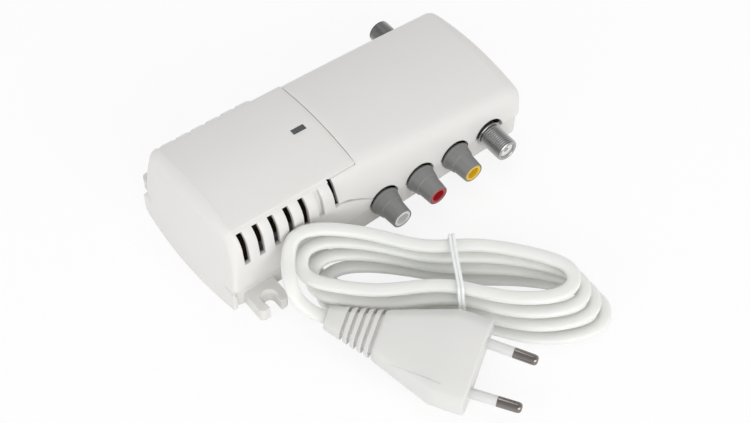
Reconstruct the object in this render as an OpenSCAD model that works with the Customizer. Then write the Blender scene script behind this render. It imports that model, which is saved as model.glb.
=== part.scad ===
// RF modulator with a built-in mains supply. A moulded bottom shell carries two domed covers:
// a tall louvred one over the power supply and a falling one over the modulator board.
// Three phono inputs and an aerial output stand on the front at the parting line, the aerial
// input on the back. The flat mains lead is tied in a hank and ends in a two-pin plug.
// Millimetres, +Z up, +X toward the modulator end, the phono jacks face -Y. The origin is on
// the base plane under the middle of the housing.

/* [Housing] */
// Length of the housing, corner of the power end to the modulator end
body_l = 139.1; // [136:0.1:143]
// Width of the housing at the parting line
body_w = 58.5; // [57.5:0.1:60.5]
// Height of the parting line between bottom shell and covers
parting_z = 9.5; // [9.1:0.1:10]
// Crown height at the power end
crown_z = 41; // [40:0.1:43]
// Crown height at the joint of the two covers
joint_z = 36.8; // [36.2:0.1:38]
// Crown height at the modulator end
low_z = 26; // [25:0.1:28]
// Place along X of the joint across the top
joint_x = -8.8; // [-10:0.1:-8]
// Radius of the crown across the housing
crown_r = 95; // [90:1:110]
// Wall thickness of the mouldings
wall = 2; // [1.7:0.1:2.1]
// Gap where two mouldings meet
shell_gap = 0.25; // [0.15:0.01:0.3]
// How far the bottom shell stands back under the covers
shell_inset = 0.35; // [0.2:0.01:0.5]

/* [Power cover] */
// Bow of the power end in plan
end_bow = 2.3; // [1.5:0.1:3]
// How far the top of the power end leans back
end_lean = 4.6; // [4:0.1:5.4]
// Rounding of the power end into its top and sides
end_round = 5; // [4:0.1:6]
// Radius of the shoulder along each side
shoulder_r = 9.4; // [8.8:0.1:9.8]
// Centre of the shoulder below the crown line
shoulder_drop = 11.6; // [11.3:0.1:12]
// Width of the shoulder beside the raised top panel
shoulder_w = 5.95; // [5.6:0.05:6.2]
// Radius of the lean of the side walls
side_r = 130; // [120:1:160]
// Height where the side walls start to lean
side_z = 12; // [10:0.1:13]

/* [Modulator cover] */
// Radius of the curved side walls
flank_r = 56; // [54:1:62]
// Rounding between crown and side walls
edge_r = 4; // [3:0.1:5]
// Rounding of the modulator end
cap_r = 3; // [2:0.1:4]
// Left end of the flap that reaches back beside the last louvre
flap_x = -21.9; // [-22.2:0.1:-21.5]
// Lower edge of that flap
flap_z = 22.5; // [22:0.1:23]
// Length of the swept seam from the flap down to the parting line
sweep_l = 26; // [24:0.1:28]

/* [Louvres] */
// Number of slots on each side
slot_n = 7; // [6:1:7]
// Distance of the first slot from the power end
slot_end = 8.25; // [8:0.05:9]
// Width of a slot
slot_w = 2.5; // [2:0.1:2.8]
// Middle of the last slot, beside the flap
slot_last_x = -21.4; // [-21.6:0.1:-21.2]
// Lower end of the slots
slot_z = 22.4; // [21:0.1:23.4]

/* [Fixing lugs] */
// Distance of the lugs' middle from the power end
lug_end = 11.35; // [11:0.05:12.5]
// Width of a lug
lug_w = 12.5; // [11.5:0.1:14]
// Reach of a lug beyond the covers
lug_out = 10.5; // [9.5:0.1:12]
// Thickness of a lug
lug_t = 6.2; // [5:0.1:7]
// Width of the open screw slot
lug_slot = 5; // [4.2:0.1:5.4]
// Depth of the screw slot
lug_slot_l = 6.5; // [6:0.1:7.4]

/* [Connectors] */
// Middle of the first jack along X
jack_x = 0.3; // [0:0.1:1]
// Distance of the aerial connectors from the modulator end
aerial_end = 17.05; // [16.5:0.05:18]
// Reach of the jacks beyond the covers
jack_out = 11.3; // [10.5:0.1:12]
// Flange diameter
flange_d = 12.4; // [12:0.1:12.8]
// Flange thickness
flange_t = 1; // [0.8:0.05:1.2]
// Length of the conical foot of a phono jack
foot_l = 4.4; // [4:0.1:5]
// Diameter of the foot at the flange
foot_d = 11.8; // [11.2:0.1:12]
// Diameter of the foot at its end
foot_end_d = 10; // [9.7:0.05:10.2]
// Barrel diameter at the foot
barrel_d = 9.4; // [9.2:0.05:9.6]
// Barrel diameter at the mouth
mouth_d = 8.5; // [8.4:0.05:8.7]
// Diameter of the coloured insert
insert_d = 7.3; // [7:0.05:7.5]
// Diameter of the dish in the insert
dish_d = 5; // [4.6:0.05:5.4]
// Bore for the centre pin of a phono plug
pin_bore = 3.25; // [3.15:0.01:3.4]
// Diameter of the jack where it passes the wall
neck_d = 9; // [8.6:0.1:9.4]
// Aerial connector, outside diameter over its thread
aerial_d = 9.525; // [9.4:0.005:9.6]
// Aerial connector, bore
aerial_bore = 6.5; // [6.2:0.05:6.8]
// Aerial connector, flange diameter
aerial_flange = 12; // [11.6:0.1:12.4]

/* [Boards] */
// Height of the board posts over the floor
post_h = 2.6; // [2.2:0.1:2.8]
// Board thickness
board_t = 1.6; // [1.4:0.1:1.7]
// Gap between the boards and the walls
board_gap = 0.7; // [0.5:0.05:0.9]
// Transformer core length, depth and height
core_l = 32; // [30:0.5:34]
core_w = 16; // [15:0.5:18]
core_h = 26; // [24:0.5:27]
// Width of the centre leg of the core
leg_w = 10; // [9:0.2:11]
// Thickness of the yoke round the core
yoke = 5; // [4.5:0.1:5.5]
// Overhang of the winding at each side of the core
coil_over = 6; // [5:0.1:7]
// Shield can, length and height
can_l = 26; // [24:0.5:27]
can_h = 12; // [11:0.2:12.6]
// Gap between the can and the jacks' blocks
can_side = 1.8; // [1.4:0.1:2.4]
// Sheet thickness of the can
sheet_t = 0.5; // [0.4:0.05:0.6]

/* [Mains lead] */
// Width of the flat lead
cord_w = 5.2; // [5:0.05:5.4]
// Thickness of the flat lead
cord_t = 3.2; // [3:0.05:3.4]
// Half length of a loop of the hank
loop_half = 50.8; // [50:0.1:51.5]
// Half width of a loop at its lobes
lobe_half = 13.2; // [12.8:0.1:13.6]
// Rise from one loop of the hank to the next
loop_rise = 4.4; // [4.2:0.05:4.6]
// How far the lobe by the housing is lifted
lobe_lift = 14; // [13:0.1:14.5]
// Thickness of the tie round the waist
tie_t = 1; // [0.8:0.1:1.1]
// Width of the tie
tie_w = 2.6; // [2:0.1:3]

/* [Plug] */
// Width of the plug over its edges
plug_w = 35.6; // [35:0.1:36]
// Thickness of the plug
plug_t = 13.7; // [13:0.1:14]
// Length of the plug body from its face
plug_l = 37; // [36:0.1:38]
// Length of the full width behind the face
plug_flat = 12.5; // [11:0.1:14]
// Width of the body at its grip
plug_tail_w = 19; // [18:0.1:20]
// Thickness of the body at its grip
plug_tail_t = 10.4; // [10:0.1:11]
// Length of the ribbed grip
grip_l = 20; // [19:0.1:21]
// Ribs of the grip
grip_n = 5; // [4:1:6]
// Groove width of the grip
groove_w = 1.5; // [1.2:0.1:1.8]
// Groove depth of the grip
groove_d = 1.1; // [0.8:0.1:1.3]
// Diameter of the plug pins
pin_d = 4; // [3.94:0.01:4.06]
// Length of the plug pins
pin_l = 19; // [18.5:0.1:19.5]
// Length of their insulated part
sleeve_l = 10; // [9.5:0.1:10.5]
// Spacing of the pins at the face
pin_gap = 18.6; // [18:0.1:19.2]
// Spacing of the pins at their tips
pin_tip_gap = 17.5; // [17:0.1:18]

/* [Hidden] */
$fn = 48;

// Overrun of every cut past the face it opens
over = 1;
// Clearance of a piece in its hole
fit = 0.1;
// Clearance of a screw or a jack in its hole
loose = 0.2;
half_l = body_l / 2;
half_w = body_w / 2;
panel_half = half_w - shoulder_w;
lug_x = lug_end - half_l;
slot_pitch = (half_l + slot_last_x - slot_end) / (slot_n - 1);
aerial_x = half_l - aerial_end;
jack_pitch = (aerial_x - jack_x) / 3;
crest_x = end_lean - half_l;
slope_l = (crown_z - joint_z) / (joint_x - crest_x);
slope_r = (joint_z - low_z) / (half_l - joint_x);
slope_a = atan(slope_l);
shell_half = half_w - shell_inset;
floor_z = wall + post_h;
board_z = floor_z + board_t;
board_half = shell_half - wall - board_gap;
jacks = [for (i = [0 : 2]) jack_x + i * jack_pitch];

// Crown line of the housing at x
function crown(x) = x < joint_x ? joint_z + slope_l * (joint_x - x) : joint_z - slope_r * (x - joint_x);
// Height of the domed surface
function dome(x, y) = crown(x) - y * y / (2 * crown_r);
// Half width of the power cover's wall at a height
function side(z) = half_w - pow(max(0, z - side_z), 2) / (2 * side_r);
// Half width of the modulator cover's wall at a height
function flank(z) = half_w - pow(max(0, z - parting_z), 2) / (2 * flank_r);
// Place of the power end's face
function end_x(y, z) = -half_l - end_bow * (1 - pow(min(1, abs(y) / half_w), 2))
    + end_lean * z / crown_z;
// Half width of the edge where flank and crown meet
function edge(x, y = body_w / 2, n = 6) = n == 0 ? y : edge(x, flank(dome(x, y)), n - 1);
function bez(a, b, c, t) = (1 - t) * (1 - t) * a + 2 * t * (1 - t) * b + t * t * c;
function both(p) = concat(p, [for (i = [len(p) - 1 : -1 : 0]) [-p[i][0], p[i][1]]]);

// Section of the power cover below its panel, set in by d, from height z0 up
function power_half(x, d, z0) = let (zc = crown(x) - shoulder_drop, yc = side(zc) - shoulder_r)
    concat([for (s = [0 : 3]) let (z = z0 + (zc - z0) * s / 4) [side(z) - d, z]],
        [for (a = [0 : 15 : 90]) [yc + (shoulder_r - d) * cos(a), zc + (shoulder_r - d) * sin(a)]]);
// Section of the raised panel
function panel_half_pts(x, d) = concat([[panel_half - d, crown(x) - shoulder_drop]],
    [for (s = [0 : 5]) let (y = (panel_half - d) * (1 - s / 5)) [y, dome(x, y) - d]]);
// Section of the modulator cover
function modulator_half(x, d, z0) = let (ye = edge(x), ze = dome(x, ye), f = edge_r * 1.2 - d / 2,
        zs = ze - f, ys = ye - f)
    concat([for (s = [0 : 4]) let (z = z0 + (zs - z0) * s / 4) [flank(z) - d, z]],
        [for (t = [0.25 : 0.25 : 1]) [bez(flank(zs), ye, ys, t) - d * (1 - t / 2), bez(zs, ze, dome(x, ys), t) - d * t]],
        [for (s = [1 : 4]) let (y = ys * (1 - s / 4)) [y, dome(x, y) - d]]);

// Convex skin over a cloud of points
module skin(pts) hull() polyhedron(pts, [[for (i = [0 : len(pts) - 1]) i]]);

// Form of the power cover, set in by d, up to x1; rounded at the bowed end
module power_form(d, x1, z0) {
    ends = [0, 30, 60, 90];
    skin(concat(
        [for (p = both(power_half(x1, d, z0))) [x1, p[0], p[1]]],
        [for (a = ends, p = both(power_half(crest_x, d + end_round * (1 - cos(a)), z0)))
            [end_x(p[0], p[1]) + d + end_round * (1 - sin(a)), p[0], p[1]]]));
    skin(concat(
        [for (p = both(panel_half_pts(x1, d))) [x1, p[0], p[1]]],
        [for (a = ends, p = both(panel_half_pts(crest_x, d + end_round * (1 - cos(a)))))
            [end_x(p[0], p[1]) + d + end_round * (1 - sin(a)), p[0], p[1]]]));
}

// Form of the modulator cover, set in by d, from x0
module modulator_form(d, x0, z0) {
    mids = [joint_x, (joint_x + half_l) / 2, half_l - cap_r];
    skin(concat(
        [for (p = both(modulator_half(x0, d, z0))) [x0, p[0], p[1]]],
        [for (x = mids, p = both(modulator_half(x, d, z0))) [min(x, half_l - d), p[0], p[1]]],
        [for (a = [30, 60, 90], p = both(modulator_half(half_l, d + cap_r * (1 - cos(a)), z0)))
            [half_l - d - cap_r * (1 - sin(a)), p[0], p[1]]]));
}

// Side view of the power cover's share of a flank: the seam follows the flap, sweeps down in an
// S and meets the parting line under the first jack. g opens it, positive to the left.
sweep_shares = [[0, 0], [0.14, 0.07], [0.24, 0.18], [0.35, 0.3], [0.46, 0.455], [0.57, 0.63],
    [0.78, 0.83], [1, 1]];
flap_foot = 2.2;
module seam_side(g) {
    drop = flap_z - parting_z;
    x0 = flap_x + flap_foot;
    translate([0, half_w + lug_out, 0]) rotate([90, 0, 0]) linear_extrude(2 * (half_w + lug_out))
        polygon(concat(
            [[-body_l, -over], [x0 + sweep_l + g, -over]],
            [for (i = [len(sweep_shares) - 1 : -1 : 0])
                [x0 + sweep_l * sweep_shares[i][0] + g, flap_z - drop * sweep_shares[i][1] + g / 2]],
            [[flap_x + g, flap_z + g / 2], [flap_x + g, 2 * crown_z], [-body_l, 2 * crown_z]]));
}

// Screw posts that hang from a cover down to the bottom shell
power_post_end = 10.1;
low_post_end = 8.7;
post_shares = [0.64, 0.56];
post_xs = [power_post_end - half_l, half_l - low_post_end];
screw_post_d = 7;
screw_d = 3;
screw_head_d = 5.6;
screw_head_t = 2;
screw_in = 8;
boss_top = parting_z - wall;
module posts(i) for (s = [-1, 1]) {
    x = post_xs[i];
    y = s * half_w * post_shares[i];
    translate([x, y, boss_top])
        cylinder(d = screw_post_d, h = dome(x, half_w * post_shares[i] + screw_post_d / 2) - wall / 2 - boss_top);
}
module post_bores(i) for (s = [-1, 1])
    translate([post_xs[i], s * half_w * post_shares[i], boss_top - over])
        cylinder(d = screw_d + fit, h = screw_in + over + fit);

// Holes of all the connectors through the walls at the parting line
module connector_holes() {
    for (x = jacks) translate([x, -shell_half + wall + over, parting_z]) rotate([90, 0, 0])
        cylinder(d = neck_d + 2 * loose, h = wall + lug_out);
    for (s = [-1, 1]) translate([aerial_x, s * (shell_half - wall - over), parting_z])
        rotate([-s * 90, 0, 0]) cylinder(d = aerial_d + 2 * loose, h = wall + lug_out);
}

// Hole for the lead's relief in the front wall of the bottom shell
relief_x = -39;
relief_z = 5;
relief_w = 9;
relief_h = 6.4;
relief_flange = 1.2;
relief_lip = 1.4;

module lug(s) translate([lug_x, s * (shell_half - wall / 2), 0]) scale([1, s, 1]) difference() {
    union() {
        translate([-lug_w / 2, 0, 0]) cube([lug_w, lug_out + wall / 2 - wall, lug_t]);
        translate([wall - lug_w / 2, 0, 0]) cube([lug_w - 2 * wall, lug_out + wall / 2 + shell_inset, lug_t]);
        for (m = [-1, 1]) translate([m * (lug_w / 2 - wall), lug_out + wall / 2 - wall + shell_inset, 0])
            cylinder(r = wall, h = lug_t);
    }
    reach = lug_out + wall / 2 + shell_inset - lug_slot_l + lug_slot / 2;
    translate([0, reach, -over]) cylinder(d = lug_slot, h = lug_t + 2 * over);
    translate([-lug_slot / 2, reach, -over]) cube([lug_slot, lug_out, lug_t + 2 * over]);
    translate([0, reach, lug_t - wall / 2]) cylinder(d1 = lug_slot, d2 = lug_slot + wall, h = wall / 2 + fit);
}

module plan(d) rounded_plate(d + shell_gap - half_l, half_l - d, shell_half - d, end_round - d);
// Rounded plate outline made of two bars and four round corners
module rounded_plate(x0, x1, h, r) {
    translate([x0 + r, -h]) square([x1 - x0 - 2 * r, 2 * h]);
    translate([x0, r - h]) square([x1 - x0, 2 * (h - r)]);
    for (x = [x0 + r, x1 - r], y = [r - h, h - r]) translate([x, y]) circle(r);
}

module bottom_shell() color("gainsboro") difference() {
    union() {
        difference() {
            intersection() {
                linear_extrude(parting_z) plan(0);
                rotate([90, 0, 0]) linear_extrude(body_w, center = true)
                    polygon([[-body_l, 0], [half_l - cap_r * 0.7, 0], [half_l, parting_z], [-body_l, parting_z]]);
            }
            translate([0, 0, wall]) linear_extrude(parting_z) plan(wall);
        }
        for (s = [-1, 1]) lug(s);
        for (i = [0, 1], s = [-1, 1])
            translate([post_xs[i], s * half_w * post_shares[i], wall / 2])
                cylinder(d = screw_post_d, h = boss_top - shell_gap - wall / 2);
        for (p = board_posts) translate([p[0], p[1], wall / 2])
            cylinder(d = board_post_d, h = floor_z - wall / 2);
    }
    connector_holes();
    for (i = [0, 1], s = [-1, 1])
        translate([post_xs[i], s * half_w * post_shares[i], -over]) {
            cylinder(d = screw_d + 2 * loose, h = parting_z + over);
            cylinder(d = screw_head_d + 2 * loose, h = screw_head_t + loose + over);
        }
    translate([relief_x - relief_w / 2 - fit, -half_w - over, relief_z - relief_h / 2 - fit])
        cube([relief_w + 2 * fit, wall + 3 * over, relief_h + 2 * fit]);
}

// The boards, and the posts that they rest on
board_post_d = 4;
board_split = 3;
main_x0 = jack_x - 0.7 * neck_d;
main_x1 = half_l - wall - board_gap - cap_r;
power_x0 = wall + board_gap + end_round / 2 - half_l;
power_x1 = main_x0 - board_split;
post_in = 3.5;
board_posts = [for (x = [main_x0 + post_in, main_x1 - 4 * post_in, power_x0 + 4 * post_in, power_x1 - post_in],
    s = [-1, 1]) [x, s * (board_half - post_in) * 0.8]];

module board(x0, x1) difference() {
    translate([x0, -board_half, floor_z]) cube([x1 - x0, 2 * board_half, board_t]);
    for (i = [0, 1], s = [-1, 1])
        translate([post_xs[i], s * half_w * post_shares[i], floor_z - over])
            cylinder(d = screw_post_d + 2 * loose, h = board_t + 2 * over);
}
module main_board() color("darkgreen") board(main_x0, main_x1);
module power_board() color("peru") board(power_x0, power_x1);

tongue_x = 9;
tongue_z = 2;
led_x = -17.3;
led_y = -0.5;
led_w = 5.8;
led_h = 2.6;
module on_crown(x, y) translate([x, y, dome(x, y)]) rotate([0, slope_a, 0]) children();

module power_cover() color("whitesmoke") difference() {
    union() {
        difference() {
            power_form(0, joint_x - shell_gap / 2, 0);
            power_form(wall, joint_x + over, -over);
        }
        posts(0);
    }
    // sides stop at the parting line, only the bowed end runs down to the base
    translate([-half_l, -body_w, -over]) cube([body_l, 2 * body_w, parting_z + over]);
    // beside the panel the cover ends at the swept seam
    difference() {
        translate([-half_l / 2, -body_w, 0]) cube([body_l, 2 * body_w, 2 * crown_z]);
        seam_side(-shell_gap / 2);
        translate([-half_l, -panel_half, 0]) cube([body_l, 2 * panel_half, 2 * crown_z]);
    }
    // under the panel nothing hangs down past the joint
    translate([flap_x - shell_gap / 2, -panel_half, -over]) cube([body_l, 2 * panel_half, joint_z - wall - over]);
    for (i = [0 : slot_n - 2], s = [-1, 1]) translate([slot_last_x - (i + 1) * slot_pitch, 0, 0]) slot(s);
    for (s = [-1, 1]) wedge(s);
    on_crown(led_x, led_y) translate([-led_w / 2, -led_h / 2, -wall - over]) cube([led_w, led_h, wall + 2 * over]);
    post_bores(0);
    connector_holes();
}

// A louvre slot: through the wall and over the shoulder up to the panel
slot_in = 1.3;
module slot(s) translate([-slot_w / 2, s > 0 ? panel_half + slot_in : -body_w, slot_z])
    cube([slot_w, body_w - panel_half - slot_in, crown_z]);
// The last slot is the wedge between the two covers
module wedge(s) translate([0, s > 0 ? body_w : -panel_half - slot_in, 0]) rotate([90, 0, 0])
    linear_extrude(body_w - panel_half - slot_in) polygon([[flap_x - slot_w * 0.3, crown_z * 0.915],
        [flap_x - slot_w * 0.02, slot_z], [flap_x + flap_foot, slot_z], [flap_x + slot_w * 0.75, crown_z * 0.83]]);

module modulator_cover() color("ghostwhite") difference() {
    union() {
        difference() {
            modulator_form(0, flap_x, parting_z);
            modulator_form(wall, flap_x - over, parting_z - over);
            seam_side(shell_gap / 2);
            // the raised panel of the power cover keeps the middle
            translate([-body_l, -panel_half - shell_gap, 0])
                cube([body_l + joint_x + shell_gap / 2, 2 * (panel_half + shell_gap), 2 * crown_z]);
        }
        posts(1);
    }
    for (s = [-1, 1]) wedge(s);
    post_bores(1);
    connector_holes();
}

module cover_screws() color("silver") for (i = [0, 1], s = [-1, 1])
    translate([post_xs[i], s * half_w * post_shares[i], 0]) {
        translate([0, 0, loose]) cylinder(d = screw_head_d, h = screw_head_t);
        translate([0, 0, loose]) cylinder(d = screw_d, h = boss_top + screw_in - loose - wall / 2);
    }

module led_window() color("dimgray") on_crown(led_x, led_y)
    translate([fit - led_w / 2, fit - led_h / 2, -wall]) cube([led_w - 2 * fit, led_h - 2 * fit, wall]);

led_d = 3;
led_l = 4.6;
lead_t = 0.5;
module status_led() color("red") {
    top = dome(led_x, 0) - wall - 2.2 * fit - led_d * slope_l;
    translate([led_x, led_y, top - led_l]) {
        cylinder(d = led_d, h = led_l - led_d / 2);
        translate([0, 0, led_l - led_d / 2]) sphere(d = led_d);
    }
    for (s = [-1, 1]) translate([led_x + s * led_d * 0.3 - lead_t / 2, led_y - lead_t / 2, board_z])
        cube([lead_t, lead_t, top - led_l - board_z + lead_t]);
}

// Three wire links arch from board to board
module board_link() color("gold") {
    span = main_x0 - power_x1 + 4 * wall;
    for (i = [-1 : 1]) translate([(main_x0 + power_x1) / 2, i * 1.5 * wall, board_z]) rotate([90, 0, 0])
        rotate_extrude(angle = 180) translate([span / 2, 0]) circle(d = wall / 2);
}

block_h = 10;
can_gap = 1.2;
can_w = 2 * (shell_half - wall - fit - block_h - can_side);
can_x = post_xs[1] - screw_post_d / 2 - can_gap - can_l;
can_tab = 3;
module rf_can() color("silver") translate([can_x, -can_w / 2, board_z]) difference() {
    cube([can_l, can_w, can_h]);
    translate([sheet_t, sheet_t, -over]) cube([can_l - 2 * sheet_t, can_w - 2 * sheet_t, can_h + 2 * over]);
}
module rf_can_lid() color("lightgray") translate([can_x - sheet_t, -can_w / 2 - sheet_t, board_z + can_h - can_tab])
    difference() {
        cube([can_l + 2 * sheet_t, can_w + 2 * sheet_t, can_tab + sheet_t]);
        translate([sheet_t, sheet_t, -over]) cube([can_l, can_w, can_tab + over]);
    }

// Laminated transformer: the core, and the winding round its centre leg
core_end = 10.55;
core_x = core_end + core_l / 2 - half_l;
core_y = 2;
module transformer_core() color("darkgray") translate([core_x - core_l / 2, core_y - core_w / 2, board_z]) difference() {
    cube([core_l, core_w, core_h]);
    window = (core_l - leg_w - 2 * yoke) / 2;
    for (x = [yoke, yoke + window + leg_w]) translate([x, -over, yoke])
        cube([window, core_w + 2 * over, core_h - 2 * yoke]);
}
module transformer_winding() color("goldenrod") {
    window = (core_l - leg_w - 2 * yoke) / 2;
    h = core_h - 2 * yoke - 2 * fit;
    translate([core_x, core_y, board_z + yoke + fit]) difference() {
        translate([fit - leg_w / 2 - window, -core_w / 2 - coil_over, 0])
            cube([leg_w + 2 * window - 2 * fit, core_w + 2 * coil_over, h]);
        translate([-leg_w / 2 - fit, -core_w / 2 - fit, -over]) cube([leg_w + 2 * fit, core_w + 2 * fit, h + 2 * over]);
    }
}

cap_d = 10;
cap_h = 16;
cap_in = 6;
cap_x = power_x1 - cap_in;
cap_side = 8.7;
cap_y = board_half - cap_side;
module filter_capacitors() color("midnightblue") for (s = [-1, 1])
    translate([cap_x, s * cap_y, board_z]) difference() {
        cylinder(d = cap_d, h = cap_h);
        // pressed rim of the can and the scored vent in its top
        translate([0, 0, cap_h * 0.9]) difference() {
            cylinder(d = cap_d + over, h = fit * 5);
            translate([0, 0, -over]) cylinder(d = cap_d - fit * 6, h = 3 * over);
        }
        for (a = [0, 90]) rotate([0, 0, a]) translate([-cap_d * 0.3, -fit, cap_h - 2 * fit]) cube([cap_d * 0.6, 2 * fit, over]);
    }

fuse_l = 20;
fuse_d = 5.2;
fuse_x = core_x;
fuse_side = 8.2;
fuse_y = fuse_side - board_half;
module mains_fuse() color("lightsteelblue") translate([fuse_x - fuse_l / 2, fuse_y, board_z + fuse_d / 2]) {
    rotate([0, 90, 0]) cylinder(d = fuse_d * 0.94, h = fuse_l);
    for (x = [0, fuse_l * 0.72]) translate([x, 0, 0]) rotate([0, 90, 0]) cylinder(d = fuse_d, h = fuse_l * 0.28);
}

diode_l = 5;
diode_d = 2.7;
diode_x = core_x - (core_l - leg_w) / 2 + yoke;
diode_side = 4.7;
diode_y = board_half - diode_side;
module rectifier_diodes() color("black") for (i = [0 : 3])
    translate([diode_x + i * 1.5 * diode_d, diode_y, board_z + diode_d / 2]) rotate([90, 0, 0])
        cylinder(d = diode_d, h = diode_l, center = true);

reg_in = 9;
reg_side = 12.2;
reg_y = board_half - reg_side;
reg_w = 10;
reg_t = 4.4;
reg_h = 15;
module voltage_regulator() color("black") translate([main_x0 + reg_in, reg_y, board_z]) {
    translate([0, -reg_w / 2, 0]) cube([reg_t, reg_w, reg_h * 0.6]);
    difference() {
        translate([0, -reg_w / 2, 0]) cube([reg_t * 0.3, reg_w, reg_h]);
        translate([-over, 0, reg_h * 0.82]) rotate([0, 90, 0]) cylinder(d = reg_w * 0.36, h = reg_t);
    }
}

// Phono jack, drawn along +Z from the wall's outside face
jack_block = 10;
insert_l = jack_out + wall + block_h * 0.6;
module jack_at(x) translate([x, -half_w, parting_z]) rotate([90, 0, 0]) children();
module phono_jack(x) color("gray") difference() {
    union() {
        jack_at(x) {
            rotate_extrude() polygon([[0, 0], [flange_d / 2, 0], [flange_d / 2, flange_t], [foot_d / 2, flange_t],
                [foot_end_d / 2, foot_l], [barrel_d / 2, foot_l + flange_t / 2], [mouth_d / 2, jack_out - flange_t / 4],
                [mouth_d / 2 - flange_t / 4, jack_out], [0, jack_out]]);
            translate([0, 0, -wall - 3 * shell_inset]) cylinder(d = neck_d, h = wall + 3 * shell_inset + flange_t / 2);
        }
        translate([x - jack_block / 2, shell_inset + wall + fit - half_w, board_z])
            cube([jack_block, block_h, 2 * (parting_z - board_z) + neck_d / 4]);
    }
    jack_at(x) translate([0, 0, jack_out - insert_l]) cylinder(d = insert_d + fit, h = insert_l + over);
}
module audio_left_jack() phono_jack(jacks[0]);
module audio_right_jack() phono_jack(jacks[1]);
module video_jack() phono_jack(jacks[2]);

contact_d = 4.4;
contact_l = 7;
module insert(x, c) color(c) jack_at(x) translate([0, 0, jack_out - insert_l]) difference() {
    cylinder(d = insert_d, h = insert_l);
    translate([0, 0, -over]) cylinder(d = pin_bore, h = insert_l + 2 * over);
    translate([0, 0, insert_l - flange_t]) cylinder(d = dish_d, h = flange_t + over);
    translate([0, 0, -over]) cylinder(d = contact_d, h = contact_l + over);
}
module audio_left_insert() insert(jacks[0], "white");
module audio_right_insert() insert(jacks[1], "firebrick");
module video_insert() insert(jacks[2], "gold");

module phono_contacts() color("silver") for (x = jacks) jack_at(x) translate([0, 0, jack_out - insert_l]) difference() {
    cylinder(d = contact_d - fit, h = contact_l - fit);
    translate([0, 0, -over]) cylinder(d = pin_bore, h = contact_l + 2 * over);
}

// Aerial connector, drawn along +Z from the wall's outside face
aerial_l = 6;
module aerial_at(s) translate([aerial_x, s * half_w, parting_z]) rotate([-s * 90, 0, 0]) children();
module aerial(s) color("silver") difference() {
    union() {
        aerial_at(s) {
            cylinder(d = aerial_flange, h = flange_t);
            translate([0, 0, -wall - shell_inset - fit]) cylinder(d = aerial_d, h = jack_out + wall + shell_inset + fit);
        }
        translate([aerial_x - jack_block / 2, s * (shell_half - wall - fit) - (s > 0 ? aerial_l : 0), board_z])
            cube([jack_block, aerial_l, 2 * (parting_z - board_z) + neck_d / 4]);
    }
    aerial_at(s) translate([0, 0, -aerial_l]) cylinder(d = aerial_bore, h = jack_out + aerial_l + over);
}
module aerial_out() aerial(-1);
module aerial_in() aerial(1);
module aerial_insulators() color("white") for (s = [-1, 1]) aerial_at(s) translate([0, 0, -aerial_l]) difference() {
    cylinder(d = aerial_bore - fit, h = jack_out + aerial_l - flange_t);
    translate([0, 0, -over]) cylinder(d = pin_contact_d + fit, h = jack_out + aerial_l + over);
}
pin_contact_d = 2.2;
pin_contact_bore = 1.1;
module aerial_contacts() color("gold") for (s = [-1, 1]) aerial_at(s) translate([0, 0, -aerial_l]) difference() {
    cylinder(d = pin_contact_d, h = jack_out + aerial_l - 2 * flange_t);
    translate([0, 0, aerial_l]) cylinder(d = pin_contact_bore, h = jack_out);
}

// Plug, drawn with its face at the origin and its pins along +X, then laid tilted on the base
plug_x = -19.7;
plug_y = -107.3;
plug_turn = -59.5;
plug_tilt = 20.7;
plug_z = (plug_w - plug_t) / 2 * sin(plug_tilt) + plug_t / 2;
module plug_place() translate([plug_x, plug_y, plug_z]) rotate([0, 0, plug_turn]) rotate([plug_tilt, 0, 0]) children();
module bar(w, t, x, l) hull() for (s = [-1, 1]) translate([x, s * (w - t) / 2, 0]) rotate([0, 90, 0]) cylinder(d = t, h = l, $fn = 24);

module plug_body() color("whitesmoke") plug_place() hull() {
    bar(plug_w, plug_t, -plug_flat, plug_flat);
    bar(plug_tail_w, plug_tail_t, -plug_l, wall);
}
grip_end_w = 9;
grip_end_t = 7;
module plug_grip() color("whitesmoke") plug_place() difference() {
    hull() {
        bar(plug_tail_w - wall, plug_tail_t - wall / 2, -plug_l - wall, wall);
        bar(grip_end_w, grip_end_t, -plug_l - grip_l, wall);
    }
    pitch = (grip_l - 2 * wall) / grip_n;
    for (i = [0 : grip_n - 1]) translate([-plug_l - wall - (i + 0.5) * pitch, 0, 0]) {
        k = 1 - (i + 0.5) / (grip_n + 1);
        w = grip_end_w + (plug_tail_w - grip_end_w) * k - 2 * groove_d;
        for (s = [-1, 1]) translate([-groove_w / 2, s > 0 ? w / 2 : -plug_w - w / 2, -plug_t]) cube([groove_w, plug_w, 2 * plug_t]);
        for (s = [-1, 1]) translate([-groove_w / 2, -plug_w, s > 0 ? plug_tail_t / 2 - groove_d * (1.2 + 0.25 * i) : -plug_t - plug_tail_t / 2 + groove_d * (1.2 + 0.25 * i)])
            cube([groove_w, 2 * plug_w, plug_t]);
    }
}
pin_lean = atan((pin_gap - pin_tip_gap) / 2 / pin_l);
module pin_place() plug_place() for (s = [-1, 1]) translate([0, s * pin_gap / 2, 0]) rotate([0, 0, -s * pin_lean]) rotate([0, 90, 0]) children();
module plug_sleeves() color("white") pin_place() difference() {
    cylinder(d = pin_d * 0.9, h = sleeve_l);
    translate([0, 0, -over]) cylinder(d = pin_d * 0.75, h = sleeve_l + 2 * over);
}
module plug_pins() color("silver") pin_place() {
    cylinder(d = pin_d * 0.75 - fit, h = pin_l - sleeve_l);
    translate([0, 0, sleeve_l]) cylinder(d = pin_d, h = pin_l - sleeve_l - pin_d / 2);
    translate([0, 0, sleeve_l - pin_d]) cylinder(d = pin_d * 0.75 - fit, h = 1.5 * pin_d);
    translate([0, 0, pin_l - pin_d / 2]) sphere(d = pin_d);
}

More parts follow.
